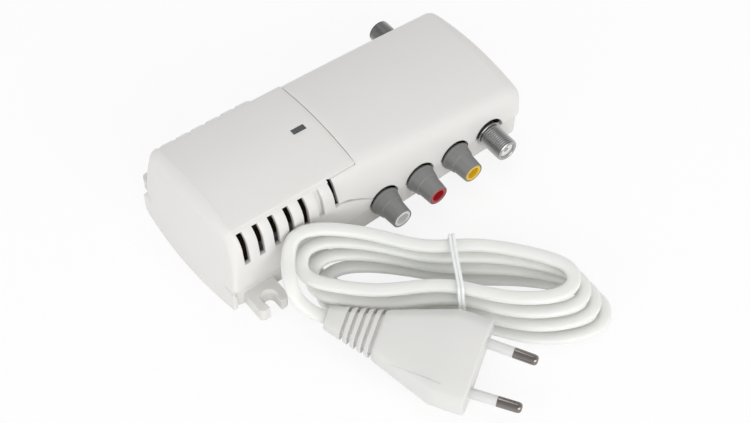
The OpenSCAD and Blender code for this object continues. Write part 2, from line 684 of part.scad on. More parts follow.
// The hank lies along an axis turned from +X. Its one tube runs from the lead's end round
// loop_turns loops, each one higher, a little to the left of and beyond the one below, and
// climbs at the end of the near run. All loops are drawn in alike at the waist.
hank_at = [-3, -73, 0];
hank_turn = -39.8;
hank_rings = 24;
hank_steps = 91;
hank_start = -105;
first_u = 6.5;
shift_u = -3.9;
grow_u = -0.1;
first_v = -4.7;
shift_v = 1.9;
grow_v = -0.6;
near_sag = 3;
sag_l = 40;
waist_share = 0.3;
waist_l = 17;
waist_hump_l = 14;
round_share = 0.74;
rest_z = 0.6;
tie_hump_share = 1.4;
lift_l = 70;
lift_w = 32;
lift_v = 18;
climb_shares = [0.8, 0.95];
function ease(t) = let (c = min(1, max(0, t))) c * c * (3 - 2 * c);
function lobe(c) = sign(c) * pow(abs(c), round_share);
function waist(u) = 1 - waist_share * exp(-pow(u / waist_l, 2));
function layer(s) = floor(s) + ease((s - floor(s) - climb_shares[0]) / (climb_shares[1] - climb_shares[0]));
// Point of the hank after s loops, in the hank's own axes
function hank_local(s) = let (a = hank_start + 360 * s, ul = (loop_half + grow_u * s) * lobe(cos(a)),
        vl = (lobe_half + grow_v * s) * lobe(sin(a)) * waist(ul),
        u = ul + first_u + shift_u * s, v = vl + first_v + shift_v * s - near_sag * ease(ul / sag_l + first_u / sag_l + shift_u * s / sag_l))
    [u, v, rest_z + cord_t / 2 + loop_rise * layer(s) + lobe_lift * ease(-(u + sag_l / 20) / lift_l) * ease((v + lift_v) / lift_w)
        + tie_hump_share * tie_t * exp(-pow(u / waist_hump_l, 2))];
function to_world(p) = hank_at + [p[0] * cos(hank_turn) - p[1] * sin(hank_turn),
    p[0] * sin(hank_turn) + p[1] * cos(hank_turn), p[2]];
function unit(v) = v / norm(v);
// A straight length at both ends of a run of points
function with_ends(p, l) = let (n = len(p) - 1) concat([p[0] + l * unit(p[0] - p[1])], p, [p[n] + l * unit(p[n] - p[n - 1])]);
hank_path = with_ends([for (i = [0 : hank_steps]) to_world(hank_local(i / hank_rings))], cord_w);

// Flattened tube: n corners a ring, w wide and t thick, its width held level
corner_shares = [[1, 0], [0.5, 1], [-0.5, 1], [-1, 0], [-0.5, -1], [0.5, -1]];
oval_shares = [[1, 0.3], [0.62, 1], [-0.62, 1], [-1, 0.3], [-1, -0.3], [-0.62, -1], [0.62, -1], [1, -0.3]];
function heading(p, i) = let (n = len(p) - 1)
    i == 0 ? unit(p[1] - p[0]) : i == n ? unit(p[n] - p[n - 1]) : unit(unit(p[i + 1] - p[i]) + unit(p[i] - p[i - 1]));
function ring(p, i, sec, w = cord_w, t = cord_t) =
    let (d = heading(p, i), e = unit(cross(d, [0, 0, 1])), f = cross(e, d))
    [for (c = sec) p[i] + e * c[0] * w / 2 + f * c[1] * t / 2];
// Tube along the points a to b of a path; it may start wider, w0 by t0, and taper to w1 by t1
module tube(p, sec, a, b, w0 = cord_w, t0 = cord_t, w1 = cord_w, t1 = cord_t) {
    m = len(sec);
    n = b - a + 1;
    polyhedron([for (i = [a : b]) let (k = (i - a) / (b - a))
        each ring(p, i, sec, w0 + (w1 - w0) * k, t0 + (t1 - t0) * k)], concat(
        [[for (j = [m - 1 : -1 : 0]) j]], [[for (j = [0 : m - 1]) (n - 1) * m + j]],
        [for (i = [0 : n - 2], j = [0 : m - 1]) each let (u = i * m + j, v = i * m + (j + 1) % m)
            [[u, v, u + m], [v, v + m, u + m]]]));
}
// Least distance between the corners of turns that lie next to each other
function hank_gap() = let (p = hank_path, n = len(p), r = [for (i = [0 : n - 1]) ring(p, i, corner_shares)])
    min([for (i = [0 : n - 9], j = [i + 8 : n - 1]) if (norm(p[i] - p[j]) < 2 * cord_w)
        min([for (a = r[i], b = r[j]) norm(a - b)])]);

// Smooth curve through hand-chosen points
function blend(a, b, c, d, t) = ((-a + 3 * b - 3 * c + d) * t * t * t + (2 * a - 5 * b + 4 * c - d) * t * t + (c - a) * t + 2 * b) / 2;
function curve(p, k) = let (n = len(p) - 1) concat([for (i = [0 : n - 1], j = [0 : k - 1])
    blend(p[max(0, i - 1)], p[i], p[i + 1], p[min(n, i + 2)], j / k)], [p[n]]);
function join(a, b, l, k) = let (c = concat([a[0], a[1]], b, [l[1], l[0]])) concat([a[0]], curve([for (i = [1 : len(c) - 2]) c[i]], k), [l[0]]);

lead_exit = [relief_x, -half_w - relief_flange, relief_z];
lead_points = [[-37.5, -41, 3.6], [-34.5, -48, 2.4], [-33, -56, 2.2], [-33, -64, 2.2], [-31, -69, 2.2]];
function hank_out(i, l) = i == 0 ? hank_path[0] - heading(hank_path, 0) * l : hank_path[len(hank_path) - 1] + heading(hank_path, len(hank_path) - 1) * l;
lead_path = join([lead_exit, lead_exit - [0, cord_w, 0]], lead_points,
    [hank_path[0], hank_out(0, cord_w / 2)], 2);
// The relief: a block in the wall, a flange outside it, and a tapered boot along the lead
boot_rings = 6;
boot_wall = 0.5;
boot_shrink = 0.3;
module cord_relief() color("whitesmoke") {
    translate([relief_x, -half_w, relief_z]) {
        translate([-relief_w / 2, 0, -relief_h / 2]) cube([relief_w, wall + shell_inset + over, relief_h]);
        translate([-relief_w / 2 - relief_lip, -relief_flange, -relief_h / 2 - relief_lip])
            cube([relief_w + 2 * relief_lip, relief_flange, relief_h + 2 * relief_lip]);
    }
    tube(concat([lead_exit + [0, relief_flange / 2, 0]], lead_path), oval_shares, 0, boot_rings + 1,
        relief_w - 2 * boot_shrink, relief_h - 2 * boot_shrink, cord_w + 2 * boot_wall, cord_t + 2 * boot_wall);
}
module cord_lead() color("white") tube(lead_path, oval_shares, boot_rings, len(lead_path) - 1);

module cord_hank() color("white") {
    tube(hank_path, corner_shares, 0, len(hank_path) - 1);
    echo("least gap of the hank to itself", hank_gap());
}

plug_dir = [cos(plug_turn), sin(plug_turn), 0];
neck = [plug_x, plug_y, plug_z] - plug_dir * (plug_l + grip_l);
tail_points = [[-53.2, -42.5, 21.5], [-54.6, -47.5, 17]];
tail_path = join([neck, neck - plug_dir * cord_w], [tail_points[1], tail_points[0]],
    [hank_path[len(hank_path) - 1], hank_out(1, cord_w / 4)], 3);
module cord_tail() color("white") tube(tail_path, oval_shares, 0, len(tail_path) - 1);

// The tie goes round all the runs at the waist, a little askew
tie_turn = -15;
tie_u = 3;
function run_v(s, m) = first_v + shift_v * s + m * ((lobe_half + grow_v * s) * (1 - waist_share) + cord_w / 2);
low_z_tie = rest_z + tie_hump_share * tie_t;
high_z_tie = low_z_tie + cord_t;
module tie_shape(d) offset(r = d, $fn = 32) polygon([
    [run_v(0.15, -1), low_z_tie + tie_t],
    [run_v(0.6, 1) + tie_t, low_z_tie + tie_t / 2],
    [run_v(3.6, 1) + tie_t, low_z_tie + 1.6 * loop_rise],
    [run_v(3.6, 1) + tie_t / 2, high_z_tie + 3 * loop_rise],
    [run_v(3.1, -1), high_z_tie + 3 * loop_rise],
    [run_v(2.1, -1) - tie_t, high_z_tie + 2 * loop_rise],
    [run_v(0.15, -1) - tie_t, high_z_tie]]);
module cord_tie() color("white") translate(hank_at) rotate([0, 0, hank_turn]) translate([tie_u, 0, 0]) rotate([0, 0, -tie_turn])
    translate([-tie_w / 2, 0, 0]) rotate([90, 0, 90]) linear_extrude(tie_w) difference() {
        tie_shape(rest_z + tie_t);
        tie_shape(rest_z);
    }

bottom_shell();
power_cover();
modulator_cover();
cover_screws();
led_window();
status_led();
main_board();
power_board();
board_link();
rf_can();
rf_can_lid();
transformer_core();
transformer_winding();
filter_capacitors();
mains_fuse();
rectifier_diodes();
voltage_regulator();
audio_left_jack();
audio_right_jack();
video_jack();
audio_left_insert();
audio_right_insert();
video_insert();
phono_contacts();
aerial_out();
aerial_in();
aerial_insulators();
aerial_contacts();
cord_relief();
cord_lead();
cord_hank();
cord_tail();
cord_tie();
plug_body();
plug_grip();
plug_sleeves();
plug_pins();
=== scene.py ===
"""The rf modulator, dressed: camera, lead, plug, covers, connectors, floor and light.

Sizes are in millimetres, as in the model, and become metres through MM.
"""
import math

import bmesh
import bpy
from mathutils import Matrix, Vector


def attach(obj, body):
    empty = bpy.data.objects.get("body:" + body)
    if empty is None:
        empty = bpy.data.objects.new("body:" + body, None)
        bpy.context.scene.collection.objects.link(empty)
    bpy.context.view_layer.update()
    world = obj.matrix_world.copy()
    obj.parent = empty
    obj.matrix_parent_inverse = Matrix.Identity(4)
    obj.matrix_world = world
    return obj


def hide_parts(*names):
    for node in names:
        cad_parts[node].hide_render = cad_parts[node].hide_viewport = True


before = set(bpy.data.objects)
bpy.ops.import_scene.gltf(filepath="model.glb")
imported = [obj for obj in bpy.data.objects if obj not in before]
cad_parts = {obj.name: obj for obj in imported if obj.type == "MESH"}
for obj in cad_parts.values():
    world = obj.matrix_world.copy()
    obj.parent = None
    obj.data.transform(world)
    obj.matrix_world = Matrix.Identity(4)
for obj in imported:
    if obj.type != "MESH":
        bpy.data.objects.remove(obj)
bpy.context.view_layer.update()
MM = 0.001

# camera
CAM_AZ, CAM_EL, CAM_DIST = math.radians(38.2604), math.radians(53.9240), 565.923
CAM_TARGET = Vector((-8.198, -34.484, 15.0))
SENSOR, FOCAL_PX, PICTURE_W = 36, 1523.879, 750

cam_data = bpy.data.cameras.new("camera")
cam_data.sensor_width = SENSOR
cam_data.lens = SENSOR * FOCAL_PX / PICTURE_W
cam_data.clip_start = 0.01
cam = bpy.data.objects.new("camera", cam_data)
bpy.context.scene.collection.objects.link(cam)
to_cam = Vector((-math.sin(CAM_AZ) * math.cos(CAM_EL), -math.cos(CAM_AZ) * math.cos(CAM_EL),
                 math.sin(CAM_EL)))
cam.location = (CAM_TARGET + to_cam * CAM_DIST) * MM
cam.rotation_euler = (-to_cam).to_track_quat("-Z", "Y").to_euler()
bpy.context.scene.camera = cam


# materials: the roughness's drift and its least, the grain's depth, and the noises' fineness and detail
ROUGH_DRIFT, ROUGH_LEAST, GRAIN_DEPTH, FINER = 0.08, 0.02, 0.3, 3.7
TINT_DETAIL, GLOSS_DETAIL, GRAIN_DETAIL = 4, 6, 3
SSS_RGB = (1.0, 0.9, 0.8)


def material(name, color, rough=0.45, metallic=0.0, bump=0.02, scale=900.0, vary=0.03, coat=0.0,
             sss=0.0, sss_mm=1.5, streak=None, patches=40.0):
    """A moulded or plated surface: tint and roughness drift over it and a fine grain lifts it.

    scale is the grain's and patches the drift's, each in repeats a metre; vary is the tint's share
    either way, and streak stretches the grain along an axis.
    """
    m = bpy.data.materials.new(name)
    m.use_nodes = True
    nodes, links = m.node_tree.nodes, m.node_tree.links
    shader = nodes["Principled BSDF"]
    shader.inputs["Metallic"].default_value = metallic
    shader.inputs["Coat Weight"].default_value = coat
    if sss:
        shader.inputs["Subsurface Weight"].default_value = sss
        shader.inputs["Subsurface Radius"].default_value = SSS_RGB
        shader.inputs["Subsurface Scale"].default_value = sss_mm * MM
    place = nodes.new("ShaderNodeTexCoord").outputs["Object"]

    def noise(repeats, detail, at=place):
        node = nodes.new("ShaderNodeTexNoise")
        node.inputs["Scale"].default_value = repeats
        node.inputs["Detail"].default_value = detail
        links.new(at, node.inputs["Vector"])
        return node.outputs["Fac"]

    tint = nodes.new("ShaderNodeMix")
    tint.data_type = "RGBA"
    tint.inputs[6].default_value = (*(c * (1 - vary) for c in color), 1)
    tint.inputs[7].default_value = (*(min(1, c * (1 + vary)) for c in color), 1)
    links.new(noise(patches, TINT_DETAIL), tint.inputs[0])
    links.new(tint.outputs[2], shader.inputs["Base Color"])
    gloss = nodes.new("ShaderNodeMapRange")
    gloss.inputs["To Min"].default_value = max(ROUGH_LEAST, rough - ROUGH_DRIFT)
    gloss.inputs["To Max"].default_value = min(1, rough + ROUGH_DRIFT)
    links.new(noise(patches * FINER, GLOSS_DETAIL), gloss.inputs["Value"])
    links.new(gloss.outputs["Result"], shader.inputs["Roughness"])
    grain_at = place
    if streak:
        stretch = nodes.new("ShaderNodeMapping")
        stretch.inputs["Scale"].default_value = streak
        links.new(place, stretch.inputs["Vector"])
        grain_at = stretch.outputs["Vector"]
    lift = nodes.new("ShaderNodeBump")
    lift.inputs["Strength"].default_value = bump
    lift.inputs["Distance"].default_value = GRAIN_DEPTH * MM
    links.new(noise(scale, GRAIN_DETAIL, grain_at), lift.inputs["Height"])
    links.new(lift.outputs["Normal"], shader.inputs["Normal"])
    return m


M = {
    # mouldings
    "housing": material("housing_moulding", (0.75, 0.738, 0.72), 0.42, bump=0.10, scale=2600, vary=0.012,
                        sss=0.05),
    "shell": material("shell_moulding", (0.72, 0.705, 0.68), 0.46, bump=0.10, scale=2600, vary=0.015,
                      sss=0.05),
    "cord": material("lead_sheath", (0.79, 0.795, 0.77), 0.40, bump=0.04, scale=1400, vary=0.02, sss=0.5,
                     sss_mm=4),
    "tie": material("tie_film", (0.86, 0.87, 0.87), 0.25, bump=0.05, scale=900, vary=0.02, sss=0.15),
    "plug": material("plug_moulding", (0.685, 0.682, 0.665), 0.44, bump=0.09, scale=2300, vary=0.015,
                     sss=0.06),
    "sleeve": material("sleeve_moulding", (0.69, 0.69, 0.68), 0.30, bump=0.03, scale=1500, vary=0.01,
                       sss=0.08),
    "grey": material("jack_moulding", (0.20, 0.204, 0.199), 0.42, bump=0.08, scale=2200, vary=0.04),
    "insert_white": material("insert_white", (0.80, 0.80, 0.79), 0.34, bump=0.03, scale=1500, vary=0.01,
                             sss=0.05),
    "insert_red": material("insert_red", (0.42, 0.02, 0.025), 0.34, bump=0.03, scale=1500, vary=0.03),
    "insert_yellow": material("insert_yellow", (0.74, 0.50, 0.03), 0.34, bump=0.03, scale=1500, vary=0.03),
    "insulator": material("insulator", (0.78, 0.78, 0.75), 0.5, bump=0.04, scale=1500, vary=0.02),
    "window": material("window_smoked", (0.055, 0.06, 0.065), 0.28, bump=0.02, scale=900, vary=0.05,
                       coat=0.3),
    "led": material("led_resin", (0.45, 0.02, 0.015), 0.2, bump=0.02, scale=900, vary=0.05, coat=0.4),
    # metals
    # painted reflection: the pins' plating colour is kept dark, well below plated metal, to stand in for the
    # dark surroundings that the tips reflect
    "chrome_painted_dark_reflection": material("pin_plating_painted_dark_reflection", (0.24, 0.218, 0.205), 0.13, 1.0, bump=0.05, scale=500, vary=0.05,
                       coat=0.3, streak=(1, 1, 0.1)),
    "nickel": material("nickel_plating", (0.43, 0.43, 0.428), 0.3, 1.0, bump=0.06, scale=900, vary=0.08),
    "tinplate": material("tinplate", (0.55, 0.55, 0.54), 0.3, 1.0, bump=0.06, scale=400, vary=0.06,
                         streak=(1, 12, 1)),
    "zinc": material("zinc_plating", (0.5, 0.5, 0.47), 0.35, 1.0, bump=0.1, scale=700, vary=0.08),
    # what the case holds
    "pcb": material("board_resist", (0.02, 0.12, 0.05), 0.35, bump=0.2, scale=300, vary=0.2, patches=160),
    "pertinax": material("board_paper", (0.30, 0.18, 0.08), 0.55, bump=0.2, scale=700, vary=0.12,
                         patches=160),
    "core": material("core_laminations", (0.20, 0.20, 0.21), 0.45, 0.8, bump=0.7, scale=90, vary=0.1,
                     streak=(1, 30, 1)),
    "winding": material("winding_tape", (0.15, 0.095, 0.045), 0.4, bump=0.25, scale=200, vary=0.05,
                        streak=(1, 1, 8)),
    "capacitor": material("capacitor_sleeve", (0.02, 0.03, 0.11), 0.3, bump=0.04, scale=500, vary=0.08),
    "glass": material("fuse_glass", (0.72, 0.75, 0.77), 0.15, bump=0.02, scale=300, vary=0.03, coat=0.5),
    "epoxy": material("black_epoxy", (0.018, 0.018, 0.02), 0.5, bump=0.15, scale=1800, vary=0.1),
}


# mesh helpers
def mesh_of(name, verts, faces, merge=0.0):
    """A mesh from points in mm, its faces wound alike."""
    me = bpy.data.meshes.new(name)
    me.from_pydata([tuple(c * MM for c in v) for v in verts], [], faces)
    bm = bmesh.new()
    bm.from_mesh(me)
    if merge:
        bmesh.ops.remove_doubles(bm, verts=bm.verts, dist=merge * MM)
    bmesh.ops.recalc_face_normals(bm, faces=bm.faces)
    bm.to_mesh(me)
    bm.free()
    return me


def new_object(name, verts, faces, mat, smooth=40, replaces=(), merge=0.0):
    """A piece on the one body, with its finish and the nodes that it stands for."""
    ob = bpy.data.objects.new(name, mesh_of(name, verts, faces, merge))
    bpy.context.scene.collection.objects.link(ob)
    ob.data.materials.append(mat)
    set_smooth(ob, smooth)
    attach(ob, "root")
    if replaces:
        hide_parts(*replaces)
    return ob


def set_smooth(ob, angle):
    """Smooth shading, with edges sharper than the angle kept crisp."""
    me = ob.data
    for p in me.polygons:
        p.use_smooth = True
    bm = bmesh.new()
    bm.from_mesh(me)
    limit = math.radians(angle)
    for e in bm.edges:
        e.smooth = not (len(e.link_faces) == 2 and e.calc_face_angle(0) > limit)
    bm.to_mesh(me)
    bm.free()


def apply_modifiers(ob):
    dg = bpy.context.evaluated_depsgraph_get()
    me = bpy.data.meshes.new_from_object(ob.evaluated_get(dg))
    old = ob.data
    ob.modifiers.clear()
    ob.data = me
    bpy.data.meshes.remove(old)


def thicken(ob, wall, offset=-1):
    """Give a skin its wall; offset -1 puts it inside the skin, 0 on both sides."""
    md = ob.modifiers.new("wall", "SOLIDIFY")
    md.thickness = wall * MM
    md.offset = offset
    md.use_even_offset = False
    apply_modifiers(ob)


def bevel(ob, width, angle=35, smooth=40):
    md = ob.modifiers.new("bevel", "BEVEL")
    md.width = width * MM
    md.segments = 2
    md.limit_method = "ANGLE"
    md.angle_limit = math.radians(angle)
    md.use_clamp_overlap = True
    apply_modifiers(ob)
    set_smooth(ob, smooth)


def strips(rows, closed=True, wrap=False):
    """Quads between rows of equal length; closed joins each row's ends, wrap the last row to the first."""
    n, m = len(rows), len(rows[0])
    faces = []
    for i in range(n - 1 + wrap):
        a, b = i * m, (i + 1) % n * m
        for j in range(m - 1 + closed):
            k = (j + 1) % m
            faces.append((a + j, b + j, b + k, a + k))
    return [p for row in rows for p in row], faces


def loft(rings):
    """A closed form through rings, with a flat cap at each end."""
    v, f = strips(rings)
    m = len(rings[0])
    f.append(tuple(range(m)))
    f.append(tuple((len(rings) - 1) * m + j for j in reversed(range(m))))
    return v, f


# radius that stands for the axis in a lathe profile, whose points are merged afterwards
AT_AXIS = 0.001


def spin(profile, n, closed=True):
    """A lathe form about +Z from a list of (r, z)."""
    rows = []
    for i in range(n):
        a = 2 * math.pi * i / n
        rows.append([(r * math.cos(a), r * math.sin(a), z) for r, z in profile])
    return strips(rows, closed, wrap=True)


# a corner's round takes up to this share of a side, and a smaller one than this is left sharp
CORNER_SHARE, CORNER_LEAST = 0.45, 0.02


def rounded(profile, radius, steps=3):
    """The closed profile with its corners rounded off."""
    out = []
    n = len(profile)
    for i, p in enumerate(profile):
        before, corner, after = Vector(profile[i - 1]), Vector(p), Vector(profile[(i + 1) % n])
        la, lb = (before - corner).length, (after - corner).length
        r = min(radius, la * CORNER_SHARE, lb * CORNER_SHARE)
        if r < CORNER_LEAST:
            out.append(p)
            continue
        s, e = corner + (before - corner) / la * r, corner + (after - corner) / lb * r
        for k in range(steps + 1):
            out.append((bez(s.x, corner.x, e.x, k / steps), bez(s.y, corner.y, e.y, k / steps)))
    return out


def put(verts, mat):
    return [tuple(mat @ Vector(v)) for v in verts]


def join(parts):
    """One list of points and faces from several."""
    v, f = [], []
    for pv, pf in parts:
        f += [tuple(i + len(v) for i in q) for q in pf]
        v += pv
    return v, f


def bez(a, b, c, t):
    return (1 - t) ** 2 * a + 2 * t * (1 - t) * b + t * t * c


def ease(t):
    c = min(1, max(0, t))
    return c * c * (3 - 2 * c)


# the case's sizes, as in the model
BODY_L, BODY_W, PARTING_Z = 139.1, 58.5, 9.5
HALF_L, HALF_W = BODY_L / 2, BODY_W / 2
CROWN_Z, JOINT_Z, LOW_Z = 41.0, 36.8, 26.0
JOINT_X, CROWN_R = -8.8, 95.0
BOW, LEAN, END_R = 2.3, 4.6, 5.0
SHOULDER_R, SHOULDER_D, PANEL_HALF = 9.4, 11.6, 23.3
SIDE_R, SIDE_Z, FLANK_R, EDGE_R, CAP_R = 130.0, 12.0, 56.0, 4.0, 3.0
FLAP_X, FLAP_Z, FOOT, SWEEP = -21.9, 22.5, 2.2, 26.0
CREST_X = LEAN - HALF_L
JACKS = {"audio_left": 0.3, "audio_right": 17.7, "video": 35.1}
AERIAL_X = 52.5


def crown(x):
    """Height of the top's middle line."""
    if x < JOINT_X:
        return JOINT_Z + (CROWN_Z - JOINT_Z) / (JOINT_X - CREST_X) * (JOINT_X - x)
    return JOINT_Z - (JOINT_Z - LOW_Z) / (HALF_L - JOINT_X) * (x - JOINT_X)


def dome(x, y):
    return crown(x) - y * y / (2 * CROWN_R)


def side(z):
    """Half width of the power cover at a height."""
    return HALF_W - max(0, z - SIDE_Z) ** 2 / (2 * SIDE_R)


def flank(z):
    """Half width of the modulator cover at a height."""
    return HALF_W - max(0, z - PARTING_Z) ** 2 / (2 * FLANK_R)


def end_x(y, z):
    """Place of the bowed and leaning end."""
    return -HALF_L - BOW * (1 - min(1, abs(y) / HALF_W) ** 2) + LEAN * z / CROWN_Z


# the lead
CORD_W, CORD_T = 5.2, 3.2
HANK_AT, HANK_TURN = Vector((-3.0, -73.0, 0.0)), math.radians(-39.8)
TURNS, STEPS_A_TURN, START_DEG = 91 / 24, 96, -105
# half sizes of the first turn, what each turn loses of them, and the waist under the tie
HANK_L, HANK_W, L_LOSS, W_LOSS, LOBE_POWER = 50.8, 13.2, 0.1, 0.6, 0.74
WAIST, WAIST_L = 0.3, 17
# how the turns shift along and across, and how the end at +u swings
ALONG, ALONG_STEP, ACROSS, ACROSS_STEP, SKEW, SKEW_L = 6.5, 3.9, 4.7, 1.9, 3, 40
# heights: over the floor, and of a layer, which a turn climbs over CLIMB_L of itself from CLIMB_FROM on
REST_GAP, LAYER, CLIMB_FROM, CLIMB_L = 0.6, 4.4, 0.8, 0.15
# the rise toward -u, and the hump at the waist
LIFT, LIFT_AT, LIFT_L, LIFT_V, LIFT_W = 14, 2, 70, 18, 32
HUMP, HUMP_L = 1.4, 14


def layer(s):
    """Layer that turn s lies on; it climbs to the next one near the turn's end."""
    return math.floor(s) + ease((s - math.floor(s) - CLIMB_FROM) / CLIMB_L)


def hank(s):
    """Point of the hank after s turns."""
    a = math.radians(START_DEG + 360 * s)
    c, d = math.cos(a), math.sin(a)
    ul = (HANK_L - L_LOSS * s) * math.copysign(abs(c) ** LOBE_POWER, c)
    lobe = (HANK_W - W_LOSS * s) * math.copysign(abs(d) ** LOBE_POWER, d)
    vl = lobe * (1 - WAIST * math.exp(-(ul / WAIST_L) ** 2))
    u = ul + ALONG - ALONG_STEP * s
    v = vl - ACROSS + ACROSS_STEP * s - SKEW * ease(u / SKEW_L)
    rest = REST_GAP + CORD_T / 2 + LAYER * layer(s)
    lift = LIFT * ease(-(u + LIFT_AT) / LIFT_L) * ease((v + LIFT_V) / LIFT_W)
    z = rest + lift + HUMP * math.exp(-(u / HUMP_L) ** 2)
    return Vector((HANK_AT.x + u * math.cos(HANK_TURN) - v * math.sin(HANK_TURN),
                   HANK_AT.y + u * math.sin(HANK_TURN) + v * math.cos(HANK_TURN), z))


def catmull(p, k):
    """Smooth curve through points, k steps a span."""
    out = []
    n = len(p) - 1
    for i in range(n):
        a, b, c, d = p[max(0, i - 1)], p[i], p[i + 1], p[min(n, i + 2)]
        for t in (j / k for j in range(k)):
            out.append(((-a + 3 * b - 3 * c + d) * t ** 3 + (2 * a - 5 * b + 4 * c - d) * t * t
                        + (c - a) * t + 2 * b) / 2)
    out.append(p[n])
    return out


# a last step shorter than this share is taken up by the one before it
END_SHARE = 0.3


def resample(p, step):
    """Points at even steps along a line, with its end kept."""
    out = [p[0]]
    done = 0.0
    for a, b in zip(p, p[1:]):
        seg = (b - a).length
        while seg > 1e-9 and done + seg >= step:
            a = a + (b - a) * ((step - done) / seg)
            out.append(a)
            seg = (b - a).length
            done = 0.0
        done += seg
    if (out[-1] - p[-1]).length > step * END_SHARE:
        out.append(p[-1])
    else:
        out[-1] = p[-1]
    return out


def settle(p, rounds):
    """Evened out between its ends, which stay where they are."""
    for _ in range(rounds):
        p = p[:2] + [(p[i - 1] + p[i] * 2 + p[i + 1]) / 4 for i in range(2, len(p) - 2)] + p[-2:]
    return p


def across(path, i):
    """Level and upright unit vectors square to a path at point i."""
    d = (path[min(len(path) - 1, i + 1)] - path[max(0, i - 1)]).normalized()
    level = d.cross(Vector((0, 0, 1))).normalized()
    return level, level.cross(d)


def sweep(path, outline):
    """Closed tube with one outline along a path."""
    rings = []
    for i, p in enumerate(path):
        e, u = across(path, i)
        rings.append([tuple(p + e * x + u * y) for x, y in outline])
    return loft(rings)


PLUG_W, PLUG_T, PLUG_L, GRIP_L = 35.6, 13.7, 37.0, 20.0
PLUG_TURN, PLUG_TILT = math.radians(-59.5), math.radians(20.7)
PLUG_AT = Vector((-19.7, -107.3, (PLUG_W - PLUG_T) / 2 * math.sin(PLUG_TILT) + PLUG_T / 2))
PLUG_M = Matrix.Translation(PLUG_AT) @ Matrix.Rotation(PLUG_TURN, 4, "Z") @ Matrix.Rotation(PLUG_TILT, 4, "X")
PLUG_DIR = Vector((math.cos(PLUG_TURN), math.sin(PLUG_TURN), 0))
neck = PLUG_AT - PLUG_DIR * (PLUG_L + GRIP_L)

RELIEF_X, RELIEF_Z, FLANGE = -39.0, 5.0, 1.2
lead_exit = Vector((RELIEF_X, -HALF_W - FLANGE, RELIEF_Z))
hank_pts = [hank(i / STEPS_A_TURN) for i in range(int(STEPS_A_TURN * TURNS) + 1)]
h0, h1 = hank_pts[0], hank_pts[-1]
d0, d1 = (h0 - hank_pts[1]).normalized(), (h1 - hank_pts[-2]).normalized()
lead = [lead_exit, lead_exit - Vector((0, CORD_W, 0)), Vector((-37.5, -41, 3.6)), Vector((-34.5, -48, 2.4)),
        Vector((-33, -56, 2.2)), Vector((-33, -64, 2.2)), Vector((-31, -69, 2.2)), h0 + d0 * CORD_W, h0]
tail = [h1, h1 + d1 * CORD_W, Vector((-53.2, -42.5, 21.5)), Vector((-54.6, -47.5, 17)),
        neck - PLUG_DIR * CORD_W, neck]
SPAN_STEPS, SETTLE_STEP, SETTLE_ROUNDS, ROUTE_STEP = 8, 1.5, 6, 1.8
lead_pts = catmull(lead, SPAN_STEPS)
route = resample(lead_pts[:-1] + hank_pts + catmull(tail, SPAN_STEPS)[1:], SETTLE_STEP)
route = resample(settle(route, SETTLE_ROUNDS), ROUTE_STEP)

# the flat section's sides, and the powers that square off its width and its thickness
CORD_SIDES, POWER_W, POWER_T = 20, 0.8, 0.72
cord_outline = []
for a in (2 * math.pi * i / CORD_SIDES for i in range(CORD_SIDES)):
    c, s = math.cos(a), math.sin(a)
    cord_outline.append((CORD_W / 2 * math.copysign(abs(c) ** POWER_W, c),
                         CORD_T / 2 * math.copysign(abs(s) ** POWER_T, s)))
v, f = sweep(route, cord_outline)
cord = new_object("lead_flat", v, f, M["cord"], 60, ("cord_lead", "cord_hank", "cord_tail"))

# plug
PLUG_FLAT, TAIL_W, TAIL_T = 12.5, 19.0, 10.4
FACE_EDGE, TAIL_EDGE, FLAT_HOLD = 0.7, 0.8, 2
EDGE_ANGLES = [math.radians(a) for a in (0, 30, 60, 90)]
TAPER_SHARES = (0.0, 0.06, 0.15, 0.3, 0.5, 0.75, 0.93)
# how steeply the points near a capsule's middle cross its flats
CROSSING = 6


def capsule(w, t, n=36):
    """Outline of n points, w wide and t thick with round ends."""
    out = []
    r = t / 2
    for i in range(n):
        a = 2 * math.pi * (i + 0.5) / n
        c, s = math.cos(a), math.sin(a)
        out.append((math.copysign((w / 2 - r), c) * min(1, abs(c) * CROSSING) + r * c, r * s))
    return out


def plug_ring(x, w, t, inset=0.0):
    return [(x, y, z) for y, z in capsule(w - 2 * inset, t - 2 * inset)]


def plug_size(x):
    """Width and thickness of the plug's body at x."""
    k = max(0, (-PLUG_FLAT - x) / (PLUG_L - PLUG_FLAT))
    return PLUG_W + (TAIL_W - PLUG_W) * k, PLUG_T + (TAIL_T - PLUG_T) * k


rings = [plug_ring(-FACE_EDGE * (1 - math.cos(a)), PLUG_W, PLUG_T, FACE_EDGE * (1 - math.sin(a)))
         for a in EDGE_ANGLES]
rings.append(plug_ring(-PLUG_FLAT + FLAT_HOLD, PLUG_W, PLUG_T))
for x in (-PLUG_FLAT - (PLUG_L - PLUG_FLAT) * share for share in TAPER_SHARES):
    rings.append(plug_ring(x, *plug_size(x)))
rings += [plug_ring(-PLUG_L + TAIL_EDGE * (1 - math.sin(a)), TAIL_W, TAIL_T, TAIL_EDGE * (1 - math.cos(a)))
          for a in EDGE_ANGLES[1:]]

# the faint line of the mould on the plug's upper face, half sunk into it; W and H are half sizes
LINE_FROM, LINE_TO, LINE_W, LINE_H, LINE_SUNK = (-28.5, -9.6), (-9.6, -10.8), 0.24, 0.2, 0.06
LINE_STEPS = 24
line = []
for i in range(LINE_STEPS + 1):
    x, y = (a + (b - a) * i / LINE_STEPS for a, b in zip(LINE_FROM, LINE_TO))
    w, t = plug_size(x)
    over = max(0, abs(y) - (w - t) / 2)
    line.append(Vector((x, y, math.sqrt(t * t / 4 - over * over) - LINE_SUNK)))
line_outline = [(LINE_W * math.cos(math.radians(a)), LINE_H * math.sin(math.radians(a)))
                for a in range(0, 360, 45)]
v, f = join([loft(rings), sweep(line, line_outline)])
plug = new_object("plug_moulded_body", put(v, PLUG_M), f, M["plug"], 35, ("plug_body",))

